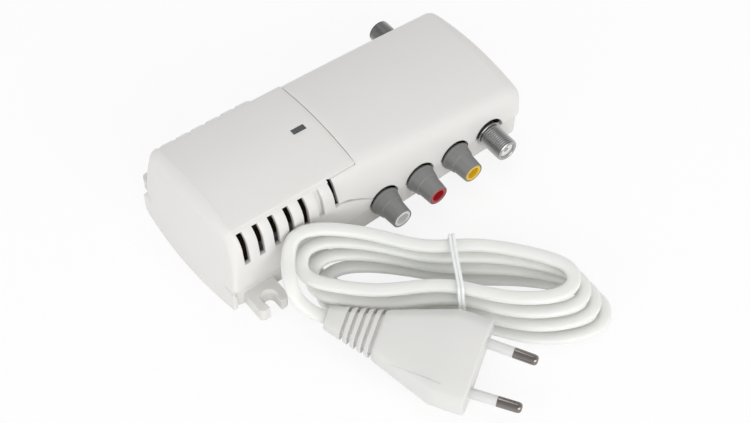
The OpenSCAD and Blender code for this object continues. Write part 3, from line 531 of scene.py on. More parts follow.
# grip: plates with narrow grooves between, smaller toward the lead, and a plain end block
GROOVES, GROOVE, RIB = 5, 1.3, 1.65
GRIP_W, GRIP_T, GRIP_W_LOSS, GRIP_T_LOSS = 18.6, 10.0, 9.4, 3.2
CORE_W, CORE_T, CHAMFER_W, CHAMFER_X, FILLET, FILLET_X = 3.4, 2.8, 0.35, 0.18, 0.3, 0.12
ROOT_IN, ROOT_W, ROOT_T = 0.4, 4, 3
GRIP_END = ((0.5, 9.2, 7.0), (0.15, 8.8, 6.6), (0.0, 8.0, 5.8))
rings = [plug_ring(-PLUG_L + ROOT_IN, TAIL_W - ROOT_W, TAIL_T - ROOT_T)]
for i in range(GROOVES):
    x0 = -PLUG_L - (GROOVE + RIB) * i
    k0, k1 = (GROOVE * 0.5 + (GROOVE + RIB) * i) / GRIP_L, ((GROOVE + RIB) * (i + 1)) / GRIP_L
    w0, w1 = GRIP_W - GRIP_W_LOSS * k0, GRIP_W - GRIP_W_LOSS * k1
    t0, t1 = GRIP_T - GRIP_T_LOSS * k0, GRIP_T - GRIP_T_LOSS * k1
    xa, xb = x0 - GROOVE, x0 - GROOVE - RIB
    rings += [plug_ring(xa + FILLET_X, w0 - CORE_W, t0 - CORE_T),
              plug_ring(xa, w0 - CORE_W + FILLET, t0 - CORE_T + FILLET),
              plug_ring(xa, w0 - CHAMFER_W, t0 - CHAMFER_W), plug_ring(xa - CHAMFER_X, w0, t0),
              plug_ring(xb + CHAMFER_X, w1, t1)]
    if i < GROOVES - 1:
        rings += [plug_ring(xb, w1 - CHAMFER_W, t1 - CHAMFER_W),
                  plug_ring(xb, w1 - CORE_W + FILLET, t1 - CORE_T + FILLET),
                  plug_ring(xb - FILLET_X, w1 - CORE_W, t1 - CORE_T)]
rings += [plug_ring(-PLUG_L - GRIP_L + x, w, t) for x, w, t in GRIP_END]
v, f = loft(rings)
grip = new_object("plug_ribbed_grip", put(v, PLUG_M), f, M["plug"], 30, ("plug_grip",))

# pins: they lean together, each in its sleeve with a bare tip
PIN_APART, TIPS_APART, PIN_L = 18.6, 17.5, 19
SLEEVE_PROFILE = [(1.5, -0.5), (1.94, -0.5), (1.94, 10), (1.5, 10)]
TIP_PROFILE = [(AT_AXIS, 8), (1.45, 8), (1.45, 10.02), (1.86, 10.02), (2.0, 10.2), (2.0, 17.3), (1.93, 17.9),
               (1.75, 18.4), (1.4, 18.75), (0.9, 18.95), (AT_AXIS, PIN_L)]
pin_lean = math.atan((PIN_APART - TIPS_APART) / 2 / PIN_L)
sleeve_parts, tip_parts = [], []
for s in (-1, 1):
    pin_m = (PLUG_M @ Matrix.Translation((0, s * PIN_APART / 2, 0)) @ Matrix.Rotation(-s * pin_lean, 4, "Z")
             @ Matrix.Rotation(math.pi / 2, 4, "Y"))
    v, f = spin(rounded(SLEEVE_PROFILE, 0.15), 40)
    sleeve_parts.append((put(v, pin_m), f))
    v, f = spin(TIP_PROFILE, 40, False)
    tip_parts.append((put(v, pin_m), f))
v, f = join(sleeve_parts)
sleeves = new_object("plug_pin_sleeves", v, f, M["sleeve"], 35, ("plug_sleeves",))
v, f = join(tip_parts)
pins = new_object("plug_pin_tips", v, f, M["chrome_painted_dark_reflection"], 35, ("plug_pins",), merge=0.01)

# tie: two turns of a thin band round the runs
LOW_RUN, HIGH_RUN = 2.0, 5.2
# a strand's half sizes, sides and steps, then how far it stands out and how the two lie apart and waver
BAND_W, BAND_T, BAND_SIDES, BAND_STEP = 0.6, 0.38, 10, 1.2
BAND_OUT, OUT_DIFF, BAND_APART, WAVER, WAVER_STEP = 1.1, 0.06, 0.66, 0.07, 0.3
TIE_AT, TIE_TURN, FLOOR_GAP = 1.4, math.radians(8), 0.05


def run_v(s, m):
    """Place across the hank of the outer edge of turn s, on side m."""
    return ACROSS_STEP * s - ACROSS + m * ((HANK_W - W_LOSS * s) * (1 - WAIST) + CORD_W / 2)


# outline of the bundle at its waist, as (across, height), outside chosen turns
TIE = [(run_v(0.15, -1), LOW_RUN + 1), (run_v(0.6, 1) + 1, LOW_RUN + 0.5),
       (run_v(3.6, 1) + 1, LOW_RUN + 1.6 * LAYER), (run_v(3.6, 1) + 0.5, HIGH_RUN + 3 * LAYER),
       (run_v(3.1, -1), HIGH_RUN + 3 * LAYER), (run_v(2.1, -1) - 1, HIGH_RUN + 2 * LAYER),
       (run_v(0.15, -1) - 1, HIGH_RUN)]


def round_loop(pts, out, steps=8):
    """Closed loop out beyond a convex outline, its corners rounded."""
    n = len(pts)
    loop = []
    for i in range(n):
        a, b, c = Vector(pts[i - 1]), Vector(pts[i]), Vector(pts[(i + 1) % n])
        n0 = Vector(((b - a).y, -(b - a).x)).normalized()
        n1 = Vector(((c - b).y, -(c - b).x)).normalized()
        for t in (k / steps for k in range(steps + 1)):
            loop.append(b + (n0 * (1 - t) + n1 * t).normalized() * out)
    return loop


tie_m = (Matrix.Translation(HANK_AT) @ Matrix.Rotation(HANK_TURN, 4, "Z") @ Matrix.Translation((TIE_AT, 0, 0))
         @ Matrix.Rotation(TIE_TURN, 4, "Z"))
bands = []
for turn in (-1, 1):
    corners = round_loop(TIE, BAND_OUT + OUT_DIFF * turn)
    loop = []
    for p, q in zip(corners, corners[1:] + corners[:1]):
        m = max(1, int((q - p).length / BAND_STEP))
        loop += [p + (q - p) * (k / m) for k in range(m)]
    rows = []
    for i, p in enumerate(loop):
        d = (loop[(i + 1) % len(loop)] - loop[i - 1]).normalized()
        square = Vector((d.y, -d.x))
        row = []
        for a in (2 * math.pi * j / BAND_SIDES for j in range(BAND_SIDES)):
            x = turn * (BAND_APART + WAVER * math.sin(i * WAVER_STEP + turn)) + BAND_W * math.cos(a)
            q = p + square * BAND_T * math.sin(a)
            row.append(tuple(tie_m @ Vector((x, q.x, max(FLOOR_GAP, q.y)))))
        rows.append(row)
    bands.append(strips(rows, wrap=True))
v, f = join(bands)
tie = new_object("lead_tie_band", v, f, M["tie"], 50, ("cord_tie",))

# relief: flange on the wall, tapered boot on the lead
FLANGE_RINGS = ((2.2, 8.6, 6.0), (0.4, 8.6, 6.0), (0.3, 11.4, 8.8), (0.0, 11.7, 9.1), (-0.8, 11.7, 9.1),
                (-1.1, 11.2, 8.6))
BOOT_W, BOOT_T, BOOT_END_W, BOOT_END_T = 8.4, 5.8, 6.2, 4.2
BOOT_STEP, BOOT_RINGS, BOOT_GROOVE, BOOT_EDGE, OUTLINE_N = 0.5, 46, 0.22, 0.5, 32
# the boot's shallow grooves: one each GROOVE_EVERY rings, GROOVE_RINGS long, with plain ends
GROOVE_EVERY, GROOVE_RINGS, PLAIN_RINGS = 6, 2, 4
rel = [[(RELIEF_X + a, -HALF_W + y, RELIEF_Z + b) for a, b in capsule(w, t, OUTLINE_N)]
       for y, w, t in FLANGE_RINGS]
boot = resample(lead_pts, BOOT_STEP)[:BOOT_RINGS]
for i, p in enumerate(boot):
    k = i / (BOOT_RINGS - 1)
    grooved = PLAIN_RINGS <= i < BOOT_RINGS - PLAIN_RINGS and i % GROOVE_EVERY < GROOVE_RINGS
    cut = BOOT_GROOVE if grooved else 0.0
    cut += BOOT_EDGE if i == BOOT_RINGS - 1 else 0.0
    w, t = BOOT_W + (BOOT_END_W - BOOT_W) * k - cut, BOOT_T + (BOOT_END_T - BOOT_T) * k - cut
    e, u = across(boot, i)
    rel.append([tuple(p - e * a + u * b) for a, b in capsule(w, t, OUTLINE_N)])
v, f = loft(rel)
new_object("lead_relief", v, f, M["cord"], 35, ("cord_relief",))

# covers
WALL, SEAM, PANEL_GAP, PARTING_GAP, UNDER_GAP = 1.8, 0.4, 0.16, 0.6, 0.3
SLOT_Z, SLOT_IN, SLOT_W, PITCH, SLOTS = 22.4, 1.3, 2.5, 6.65, 6
LOUVRE_Y = PANEL_HALF + SLOT_IN
NOTCH_R, NOTCH_FROM, NOTCH_TO = 7.0, -4.5, 9
# the middle line that a cover's faces look away from, and the covers' eased edges
MIDDLE_X, MIDDLE_Z, COVER_EDGE, COVER_ANGLE = 60, 10, 0.28, 38
# the swept seam: (share of the sweep's length, share of its drop)
SWEEP_SHARES = [(0, 0), (0.14, 0.07), (0.24, 0.18), (0.35, 0.3), (0.46, 0.455), (0.57, 0.63),
                (0.78, 0.83), (1, 1)]


def sweep_x(z):
    """Place of the swept seam at a height, on a smooth curve through the table."""
    q = min(1, max(0, (FLAP_Z - z) / (FLAP_Z - PARTING_Z)))
    t = SWEEP_SHARES
    i = next((i for i in range(len(t) - 2) if q <= t[i + 1][1]), len(t) - 2)
    slopes = []
    for j in (i, i + 1):
        a, b = t[max(0, j - 1)], t[min(len(t) - 1, j + 1)]
        slopes.append((b[0] - a[0]) / (b[1] - a[1]))
    h = t[i + 1][1] - t[i][1]
    s = (q - t[i][1]) / h
    p = ((2 * s ** 3 - 3 * s * s + 1) * t[i][0] + (s ** 3 - 2 * s * s + s) * h * slopes[0]
         + (3 * s * s - 2 * s ** 3) * t[i + 1][0] + (s ** 3 - s * s) * h * slopes[1])
    return FLAP_X + FOOT + SWEEP * p


class Sheet:
    """A skin of quads with shared corners, thickened later."""

    def __init__(self):
        self.v, self.f, self.ix = [], [], {}

    def point(self, x, y, z):
        key = (round(x, 3), round(y, 3), round(z, 3))
        if key not in self.ix:
            self.ix[key] = len(self.v)
            self.v.append((x, y, z))
        return self.ix[key]

    def quad(self, *corners):
        q = []
        for c in corners:
            i = self.point(*c)
            if i not in q:
                q.append(i)
        if len(q) > 2:
            self.f.append(tuple(q))

    def patch(self, rows, skip=None):
        """Quads over a grid of rows, apart from those that skip(row, column) leaves out."""
        for i in range(len(rows) - 1):
            for j in range(len(rows[i]) - 1):
                if not (skip and skip(i, j)):
                    self.quad(rows[i][j], rows[i + 1][j], rows[i + 1][j + 1], rows[i][j + 1])

    def close_end(self, ring, steps, x_at):
        """Strips between the two halves of a cover's end; x_at(corner, y, z) is the face's place."""
        n = len(ring)
        for k in range((n - 1) // 2):
            pair = []
            for q in (k, k + 1):
                a, c = ring[q], ring[n - 1 - q]
                row = [a]
                for t in (j / steps for j in range(1, steps)):
                    y, z = a[1] + (c[1] - a[1]) * t, a[2] + (c[2] - a[2]) * t
                    row.append((x_at(a, y, z), y, z))
                pair.append(row + [c])
            self.patch(pair)


def jack_matrix(x, s=-1):
    """Frame of a connector: its axis out of the front (-1) or back (1) wall."""
    return Matrix.Translation((x, s * HALF_W, PARTING_Z)) @ Matrix.Rotation(-s * math.pi / 2, 4, "X")


def make_cover(name, sheet, node, notches):
    """A cover from its skin: faces turned outward, walled, notched round the connectors, edges eased."""
    ob = new_object(name, sheet.v, sheet.f, M["housing"], 40, (node,))
    bm = bmesh.new()
    bm.from_mesh(ob.data)
    bm.normal_update()
    for face in bm.faces:
        c = face.calc_center_median() / MM
        if face.normal.dot(c - Vector((max(-MIDDLE_X, min(MIDDLE_X, c.x)), 0, MIDDLE_Z))) < 0:
            face.normal_flip()
    bm.to_mesh(ob.data)
    bm.free()
    thicken(ob, WALL)
    profile = [(AT_AXIS, NOTCH_FROM), (NOTCH_R, NOTCH_FROM), (NOTCH_R, NOTCH_TO), (AT_AXIS, NOTCH_TO)]
    for x, s in notches:
        v, f = spin(profile, 48, False)
        cutter = bpy.data.objects.new("cutter", mesh_of("cutter", put(v, jack_matrix(x, s)), f, merge=0.005))
        bpy.context.scene.collection.objects.link(cutter)
        md = ob.modifiers.new("notch", "BOOLEAN")
        md.operation = "DIFFERENCE"
        md.solver = "EXACT"
        md.object = cutter
        apply_modifiers(ob)
        bpy.data.objects.remove(cutter)
    bevel(ob, COVER_EDGE, COVER_ANGLE, COVER_ANGLE)


# power cover: rows run round its section from the front foot over the panel to the back foot
def arc_angle(x, y):
    """Angle on the shoulder's round at a half width."""
    zc = crown(x) - SHOULDER_D
    return math.acos(max(-1, min(1, (y - (side(zc) - SHOULDER_R)) / SHOULDER_R)))


RIM_GAP = 0.12
RIM_Y = PANEL_HALF + RIM_GAP
PANEL_STEP = dome(CREST_X, PANEL_HALF) - (crown(CREST_X) - SHOULDER_D
                                          + SHOULDER_R * math.sin(arc_angle(CREST_X, RIM_Y)))
CORNER_FROM, CORNER_FADE, EDGE_DROP, NORMAL_FADE = 15, 3, 0.15, 9


def power_point(x, row, ins=0.0):
    """Point of a row at x, moved in by ins along the smooth outline's normal."""
    kind, sgn, t = row
    zc = crown(x) - SHOULDER_D
    yc = side(zc) - SHOULDER_R
    if kind == "low":
        y, z, n = side(t), t, (1, 0)
    elif kind == "slot":
        upright = zc - SLOT_Z
        d = (upright + SHOULDER_R * arc_angle(x, LOUVRE_Y)) * t
        if d < upright:
            y, z, n = side(SLOT_Z + d), SLOT_Z + d, (1, 0)
        else:
            n = (math.cos((d - upright) / SHOULDER_R), math.sin((d - upright) / SHOULDER_R))
            y, z = yc + SHOULDER_R * n[0], zc + SHOULDER_R * n[1]
    elif kind == "rim":
        a0, a1 = arc_angle(x, LOUVRE_Y), arc_angle(x, RIM_Y)
        a = a0 + (a1 - a0) * t
        n = (math.cos(a), math.sin(a))
        y, z = yc + SHOULDER_R * n[0], zc + SHOULDER_R * n[1]
    else:
        sgn = 1 if t > 0 else -1
        y, z = abs(t), dome(x, t)
        a = arc_angle(x, PANEL_HALF)
        k = ease((PANEL_HALF - y) / NORMAL_FADE)
        n = Vector((math.cos(a) * (1 - k), math.sin(a) * (1 - k) + k)).normalized()
        if y == PANEL_HALF:
            z -= EDGE_DROP
        if ins:
            # the panel's corners sink to the rim, so that they end without a lip
            z -= PANEL_STEP * min(1, ins / CORNER_FADE) * ease((y - CORNER_FROM) / (PANEL_HALF - CORNER_FROM))
    return sgn * (y - ins * n[0]), z - ins * n[1]


LOW_ROWS = [0, 3.2, 6.4, PARTING_Z - 0.02, PARTING_Z + UNDER_GAP, 12, 14.6, 17.2, 19.8, SLOT_Z]
SLOT_ROWS = 9
N_LOW, N_CUT = len(LOW_ROWS), LOW_ROWS.index(PARTING_Z + UNDER_GAP)
N_RIM = N_LOW + SLOT_ROWS - 1
half_rows = ([("low", z) for z in LOW_ROWS] + [("slot", (i + 1) / SLOT_ROWS) for i in range(SLOT_ROWS)]
             + [("rim", 0.5), ("rim", 1)])
N_SIDE = len(half_rows)
PANEL_Y = [PANEL_HALF, 22.9, 20.6, 18, 15, 12, 9, 6.5, 4, 2.4, 0.8,
           -0.5, -1.8, -4, -6.5, -9, -12, -15, -18, -20.6, -22.9, -PANEL_HALF]
rows_p = ([(k, 1, t) for k, t in half_rows] + [("top", 1, y) for y in PANEL_Y]
          + [(k, -1, t) for k, t in reversed(half_rows)])
NR = len(rows_p)


def side_index(r):
    """Index from the nearer foot, or None on the panel."""
    if r < N_SIDE:
        return r
    return NR - 1 - r if r >= NR - N_SIDE else None


# the end's round reaches ROUND_SHARE of its radius in, and stops FOLD_GAP short of the first column
CORNER_R, END_ANGLES, ROUND_SHARE, END_STEPS = 1.8, (90, 78, 66, 54, 42, 30, 18, 8), 0.861, 18
ROUND_FROM, FOLD_GAP, FOOT_GAP = N_LOW - 2, 0.2, 0.06
SLOTS_FROM, FIRST_GAP, LAST_COL = FLAP_X + 0.5, 0.45, -25.2
slots = [SLOTS_FROM - PITCH * (i + 1) for i in range(SLOTS)]
first_x = slots[-1] - SLOT_W / 2 - FIRST_GAP
cols = [first_x]
for c in sorted(slots):
    cols += [c - SLOT_W / 2, c, c + SLOT_W / 2, c + PITCH / 2]
cols[-1] = LAST_COL
WEDGE_L, WEDGE_DRIFT, WEDGE_H = FLAP_X - 0.05, 0.7, 15.1
N_END = len(END_ANGLES)
grid = []
for r, row in enumerate(rows_p):
    i = side_index(r)
    # the end's round is tight at the upright corners and full at the top
    k = 1.0 if i is None else ease((i - ROUND_FROM) / (N_SIDE - N_LOW))
    radius = min(CORNER_R + (END_R - CORNER_R) * k,
                 (first_x - FOLD_GAP - end_x(*power_point(CREST_X, row))) / ROUND_SHARE)
    points = []
    for a in END_ANGLES:
        y, z = power_point(CREST_X, row, radius * (1 - math.cos(math.radians(a))))
        x = end_x(y, z) + radius * (1 - math.sin(math.radians(a)))
        if i is not None and i < N_CUT:
            x = min(x, -HALF_L - FOOT_GAP)
        points.append((x, y, z))
    points += [(x, *power_point(x, row)) for x in cols]
    edge_x = WEDGE_L - WEDGE_DRIFT * max(0, power_point(WEDGE_L, row)[1] - SLOT_Z) / WEDGE_H
    points.append((edge_x, *power_point(edge_x, row)))
    grid.append(points)


def skip_power(r, c):
    """Left out of the power cover: the sides under the parting line and the louvres."""
    i, j = side_index(r), side_index(r + 1)
    if i is None or j is None:
        return False
    k = min(i, j)
    if k < N_CUT and c >= N_END - 1:
        return True
    if N_LOW - 1 <= k < N_RIM and c >= N_END:
        m = (grid[0][c][0] + grid[0][c + 1][0]) / 2
        return any(abs(m - s) < SLOT_W / 2 for s in slots)
    return False


power = Sheet()
power.patch(grid, skip_power)
power.close_end([points[0] for points in grid], END_STEPS, lambda corner, y, z: end_x(y, z))

# the rim strip ends at the flap, the panel runs on to the joint round its window
LED_X, LED_Y, LED_W, LED_H = -17.3, -0.5, 5.8, 2.6
STEP_FOOT, SEAM_STEPS, PANEL_COL = 1.6, 12, -11.6
strip_x = FLAP_X - SEAM / 2
panel_x = [LED_X - LED_W / 2, LED_X, LED_X + LED_W / 2, PANEL_COL, JOINT_X - SEAM / 2]


def strip_row(q):
    return [grid[q][-1], (strip_x, *power_point(strip_x, rows_p[q]))]


def panel_row(q):
    """A row on to the joint; beside the panel it is the foot of the panel's step."""
    points = strip_row(q)
    if side_index(q) is None:
        return points + [(x, *power_point(x, rows_p[q])) for x in panel_x]
    y = math.copysign(PANEL_HALF, points[0][1])
    return points + [(x, y, dome(x, y) - STEP_FOOT) for x in panel_x]


def seam_row(q):
    """A row on to the swept seam."""
    y, z = power_point(WEDGE_L, rows_p[q])
    run = sweep_x(z) - SEAM / 2 - WEDGE_L
    return [grid[q][-1]] + [(WEDGE_L + run * t / SEAM_STEPS, y, z) for t in range(1, SEAM_STEPS + 1)]


def in_window(pair, c):
    """Whether the quad at column c of a pair of rows lies in the LED's window."""
    p, q = pair[0][c], pair[1][c + 1]
    return abs((p[0] + q[0]) / 2 - LED_X) < LED_W / 2 and abs((p[1] + q[1]) / 2 - LED_Y) < LED_H / 2


for r in range(NR - 1):
    i, j = side_index(r), side_index(r + 1)
    if i is None or j is None:
        make_row = panel_row
    elif min(i, j) >= N_RIM:
        make_row = strip_row
    elif N_CUT <= min(i, j) < N_LOW - 1:
        make_row = seam_row
    else:
        continue
    pair = [make_row(r), make_row(r + 1)]
    power.patch(pair, lambda row, c, pair=pair: in_window(pair, c))
make_cover("cover_power", power, "power_cover", [(JACKS["audio_left"], -1)])


# modulator cover: rows run from the front parting line over the top to the back one
CURVE_STEPS, FILLET_STEPS, FILLET_SHARE, EDGE_ROUNDS = 30, 16, 1.2, 7


def mod_edge(x):
    """Half width where the flank meets the dome."""
    y = HALF_W
    for _ in range(EDGE_ROUNDS):
        y = flank(dome(x, y))
    return y


def mod_curve(x, ins=0.0):
    """Dense half section from the parting line to the middle."""
    ye = mod_edge(x)
    ze = dome(x, ye)
    fillet = EDGE_R * FILLET_SHARE - ins / 2
    zs, ys = ze - fillet, ye - fillet
    p = []
    for z in (PARTING_Z + (zs - PARTING_Z) * i / CURVE_STEPS for i in range(CURVE_STEPS + 1)):
        p.append((flank(z) - ins, z))
    for t in (i / FILLET_STEPS for i in range(1, FILLET_STEPS + 1)):
        p.append((bez(flank(zs), ye, ys, t) - ins * (1 - t / 2), bez(zs, ze, dome(x, ys), t) - ins * t))
    for y in (ys * (1 - i / CURVE_STEPS) for i in range(1, CURVE_STEPS + 1)):
        p.append((y, dome(x, y) - ins))
    return p


def cut_at(p, test):
    """Place along a section where the test falls below zero."""
    for i in range(len(p) - 1):
        a, b = test(p[i]), test(p[i + 1])
        if a >= 0 > b:
            return i + a / (a - b)
    return len(p) - 1


def at(p, s):
    i = min(len(p) - 2, int(s))
    t = s - i
    return p[i][0] + (p[i + 1][0] - p[i][0]) * t, p[i][1] + (p[i + 1][1] - p[i][1]) * t


def between(p, s0, s1, n):
    """n points at even steps of length after s0, up to s1."""
    pts = [at(p, s0)] + [p[i] for i in range(int(s0) + 1, int(math.ceil(s1)))] + [at(p, s1)]
    d = [0]
    for a, b in zip(pts, pts[1:]):
        d.append(d[-1] + math.hypot(b[0] - a[0], b[1] - a[1]))
    out = []
    for k in range(1, n + 1):
        want = d[-1] * k / n
        j = next(i for i in range(1, len(d)) if d[i] >= want - 1e-9)
        out.append(at(pts, j - 1 + (want - d[j - 1]) / max(1e-9, d[j] - d[j - 1])))
    return out


ROWS_LOW, ROWS_LOUVRE, ROWS_RIM, ROWS_TOP = 10, 9, 2, 14
M_SLOT, M_LOUVRE, M_RIM = ROWS_LOW, ROWS_LOW + ROWS_LOUVRE, ROWS_LOW + ROWS_LOUVRE + ROWS_RIM
N_HALF = M_RIM + ROWS_TOP + 1
N_MOD = 2 * N_HALF - 1
# how far the louvre's foot lies under its head, the inset's share across, and a hair short of the middle
SLOT_DROP, INSET_SHARE, HAIR = 4.5, 0.6, 0.0001
sections = {}


def mod_section(x, ins):
    """Half section at x in the cover's rows, with rows at the louvre's foot, the rim and the panel's edge."""
    p = mod_curve(x, ins)
    k = ins * INSET_SHARE
    s_low = cut_at(p, lambda q: PARTING_Z + PARTING_GAP - q[1])
    s_louvre = cut_at(p, lambda q: q[0] - (LOUVRE_Y - k))
    s_panel = cut_at(p, lambda q: q[0] - (PANEL_HALF + PANEL_GAP - k))
    foot_z = min(SLOT_Z, at(p, s_louvre)[1] - SLOT_DROP)
    s_slot = cut_at(p, lambda q: foot_z - q[1])
    return ([at(p, s_low)] + between(p, s_low, s_slot, ROWS_LOW) + between(p, s_slot, s_louvre, ROWS_LOUVRE)
            + between(p, s_louvre, s_panel, ROWS_RIM) + between(p, s_panel, len(p) - 1 - HAIR, ROWS_TOP))


def mod_point(x, r, ins=0.0):
    key = (round(x, 4), round(ins, 4))
    if key not in sections:
        sections[key] = mod_section(x, ins)
    if r == N_HALF - 1:
        return 0.0, sections[key][r][1]
    y, z = sections[key][half_index(r)]
    return (y if r < N_HALF else -y), z


def half_index(r):
    return min(r, N_MOD - 1 - r)


BODY_X, BODY_STEPS, JOINT_COL, HEIGHTS_AT = 8.0, 24, 3, -15
CAP_ANGLES, CAP_STEPS = (12, 26, 40, 54, 68, 80, 90), 14
WEDGE_BACK, WEDGE_RISE = 0.3, 11.6
wedge_x = FLAP_X + FOOT
rim_x = wedge_x - WEDGE_BACK
joint_x = JOINT_X + SEAM / 2
col_shares = [0, 0.13, 0.26, (joint_x - rim_x) / (BODY_X - rim_x), 0.5, 0.62, 0.74, 0.87, 1]

mod = Sheet()
body_x = [BODY_X + (HALF_L - CAP_R - BODY_X) * i / BODY_STEPS for i in range(BODY_STEPS + 1)]
body = [[(x, *mod_point(x, r)) for x in body_x] for r in range(N_MOD)]
for r in range(N_MOD):
    for a in map(math.radians, CAP_ANGLES):
        body[r].append((HALF_L - CAP_R * (1 - math.sin(a)), *mod_point(HALF_L, r, CAP_R * (1 - math.cos(a)))))
mod.patch(body)
mod.close_end([points[-1] for points in body], CAP_STEPS, lambda corner, y, z: corner[0])

# toward the power cover: the swept seam, the wedge by the last louvre, the rim's strip and the joint
front = []
for r in range(N_MOD):
    i = half_index(r)
    z = mod_point(HEIGHTS_AT, r)[1]
    if i < M_SLOT:
        x0 = sweep_x(z) + SEAM / 2
    elif i == M_SLOT:
        x0 = wedge_x
    elif i <= M_LOUVRE:
        x0 = wedge_x - WEDGE_BACK * (z - SLOT_Z) / WEDGE_RISE
    else:
        x0 = rim_x
    xs = [x0 + (BODY_X - x0) * t for t in col_shares]
    if i >= M_LOUVRE:
        xs[JOINT_COL] = joint_x
    front.append([(x, *mod_point(x, r)) for x in xs])
mod.patch(front, lambda r, c: min(half_index(r), half_index(r + 1)) >= M_RIM and c < JOINT_COL)
make_cover("cover_modulator", mod, "modulator_cover",
           [(x, -1) for x in (*JACKS.values(), AERIAL_X)] + [(AERIAL_X, 1)])

# inner tab of the modulator cover, seen through the last but one louvre
TAB_X, TAB_IN, TAB_LEAN, TAB_STEPS = (-29.6, -27.6, -25.4, -24.4, -23.4), 2.6, 0.55, 8
TAB_FROM, TAB_BEND, TAB_TO, TAB_WALL, TAB_EDGE = SLOT_Z - 3, 29, 34, 1.4, 0.2
tab = Sheet()
for s in (-1, 1):
    rows = []
    for z in (TAB_FROM + (TAB_TO - TAB_FROM) * i / TAB_STEPS for i in range(TAB_STEPS + 1)):
        y = side(min(z, TAB_BEND)) - TAB_IN - max(0, z - TAB_BEND) * TAB_LEAN
        rows.append([(x, s * y, z) for x in TAB_X])
    tab.patch(rows)
tab_ob = new_object("cover_modulator_tab", tab.v, tab.f, M["housing"], 40)
thicken(tab_ob, TAB_WALL, 0)
bevel(tab_ob, TAB_EDGE)

# connectors, as (r, z) out of the wall
BARREL = [(3.72, -2.0), (4.5, -2.0), (4.5, 0.0), (6.2, 0.0), (6.2, 0.9), (5.9, 1.0), (5.86, 1.15), (5.2, 4.1),
          (5.12, 4.55), (4.68, 4.8), (4.25, 11.05), (4.1, 11.3), (3.72, 11.3)]
LINER = [(1.62, -6), (3.65, -6), (3.65, 11.12), (3.45, 11.3), (2.75, 11.3), (2.52, 11.05), (2.45, 8.6),
         (1.75, 8.5), (1.62, 8.35)]
THREAD_SEAT = [(3.25, -2.0), (4.7, -2.0), (4.7, 0.0), (5.5, 0.0), (5.5, 0.35), (5.35, 0.5), (4.2, 0.55),
               (4.2, 0.7)]
RIDGE = [(4.0, 0.12), (4.7, 0.4), (4.76, 0.46), (4.7, 0.52), (4.0, 0.8)]
THREAD_FROM, THREAD_TO, THREAD_PITCH = 0.7, 9.9, 0.9
THREAD_END = [(4.0, 0.15), (4.6, 0.35)]
THREAD_MOUTH = [(4.6, 10.9), (4.25, 11.3), (3.4, 11.3), (3.25, 11.1)]

for (name, x), ins in zip(JACKS.items(), ("insert_white", "insert_red", "insert_yellow")):
    v, f = spin(rounded(BARREL, 0.22), 72)
    new_object(name + "_barrel", put(v, jack_matrix(x)), f, M["grey"], 30, (name + "_jack",))
    v, f = spin(rounded(LINER, 0.12, 2), 64)
    new_object(name + "_liner", put(v, jack_matrix(x)), f, M[ins], 30, (name + "_insert",))

profile = list(THREAD_SEAT)
z = THREAD_FROM
while z < THREAD_TO:
    profile += [(r, z + h) for r, h in RIDGE]
    z += THREAD_PITCH
profile += [(r, z + h) for r, h in THREAD_END] + THREAD_MOUTH
for s, node in ((-1, "aerial_out"), (1, "aerial_in")):
    v, f = spin(profile, 72)
    new_object(node + "_thread", put(v, jack_matrix(AERIAL_X, s)), f, M["nickel"], 32, (node,))

# finishes of the nodes that stay
FINISHES = {
    "bottom_shell": "shell", "cover_screws": "zinc", "led_window": "window", "status_led": "led",
    "main_board": "pcb", "power_board": "pertinax", "board_link": "tinplate", "rf_can": "tinplate",
    "rf_can_lid": "tinplate", "transformer_core": "core", "transformer_winding": "winding",
    "filter_capacitors": "capacitor", "mains_fuse": "glass", "rectifier_diodes": "epoxy",
    "voltage_regulator": "epoxy", "phono_contacts": "nickel", "aerial_insulators": "insulator",
    "aerial_contacts": "chrome_painted_dark_reflection",
}
for node, key in FINISHES.items():
    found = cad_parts[node]
    for ob in found if isinstance(found, (list, tuple)) else [found]:
        for sl in ob.material_slots:
            sl.material = M[key]
        if not ob.material_slots:
            ob.data.materials.append(M[key])

# floor: plain paper, seen as near white
FLOOR_SIZE, FLOOR_DROP, FLOOR_TONE, FLOOR_ROUGH, FLOOR_WHITE = 6, 0.0001, 0.95, 0.8, 0.84
bpy.ops.mesh.primitive_plane_add(size=FLOOR_SIZE, location=(0, 0, -FLOOR_DROP))
floor = bpy.context.object
floor.name = "floor"
paper = bpy.data.materials.new("floor_paper")
paper.use_nodes = True
nodes, links = paper.node_tree.nodes, paper.node_tree.links
diffuse = nodes["Principled BSDF"]
diffuse.inputs["Base Color"].default_value = (FLOOR_TONE, FLOOR_TONE, FLOOR_TONE, 1)
diffuse.inputs["Roughness"].default_value = FLOOR_ROUGH
white = nodes.new("ShaderNodeEmission")
white.inputs["Color"].default_value = (1, 1, 1, 1)
rays = nodes.new("ShaderNodeLightPath")
seen = rays.outputs["Is Camera Ray"]
for ray in ("Is Glossy Ray", "Is Transmission Ray"):
    either = nodes.new("ShaderNodeMath")
    either.operation = "MAXIMUM"
    links.new(seen, either.inputs[0])
    links.new(rays.outputs[ray], either.inputs[1])
    seen = either.outputs[0]
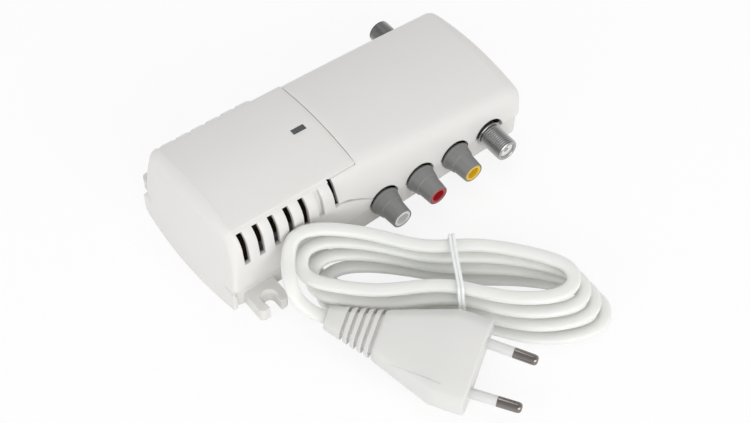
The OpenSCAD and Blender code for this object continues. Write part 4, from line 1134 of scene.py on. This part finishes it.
share = nodes.new("ShaderNodeMath")
share.operation = "MULTIPLY"
share.inputs[1].default_value = FLOOR_WHITE
links.new(seen, share.inputs[0])
blend = nodes.new("ShaderNodeMixShader")
links.new(share.outputs[0], blend.inputs[0])
links.new(diffuse.outputs[0], blend.inputs[1])
links.new(white.outputs[0], blend.inputs[2])
links.new(blend.outputs[0], nodes["Material Output"].inputs["Surface"])
floor.data.materials.append(paper)

# soft studio light, brighter from the horizon than from above
HORIZON, ZENITH, ZENITH_AT = 0.92, 0.52, 0.9
world = bpy.data.worlds.new("studio")
bpy.context.scene.world = world
world.use_nodes = True
nodes, links = world.node_tree.nodes, world.node_tree.links
height = nodes.new("ShaderNodeSeparateXYZ")
links.new(nodes.new("ShaderNodeTexCoord").outputs["Generated"], height.inputs[0])
level = nodes.new("ShaderNodeMapRange")
level.inputs["From Min"].default_value = 0.0
level.inputs["From Max"].default_value = ZENITH_AT
level.inputs["To Min"].default_value = HORIZON
level.inputs["To Max"].default_value = ZENITH
links.new(height.outputs["Z"], level.inputs["Value"])
grey = nodes.new("ShaderNodeCombineColor")
for k in range(3):
    links.new(level.outputs["Result"], grey.inputs[k])
links.new(grey.outputs[0], nodes["Background"].inputs["Color"])
nodes["Background"].inputs["Strength"].default_value = 1.0

# name, place, size in metres, power in watts
LAMPS = (("front", (-0.15, -0.9, 0.45), (0.9, 0.5), 4.2),
         ("left", (-0.85, -0.1, 0.4), (0.6, 0.5), 1.3),
         ("top", (0.2, 0.35, 0.95), (0.6, 0.5), 1.4))
LAMP_AIM = Vector((0, -0.04, 0.01))
for name, place, size, power_w in LAMPS:
    lamp = bpy.data.lights.new(name, "AREA")
    lamp.shape = "RECTANGLE"
    lamp.size, lamp.size_y = size
    lamp.energy = power_w
    ob = bpy.data.objects.new(name, lamp)
    bpy.context.scene.collection.objects.link(ob)
    ob.location = place
    ob.rotation_euler = (LAMP_AIM - Vector(place)).to_track_quat("-Z", "Y").to_euler()

bpy.context.scene.view_settings.view_transform = "Standard"
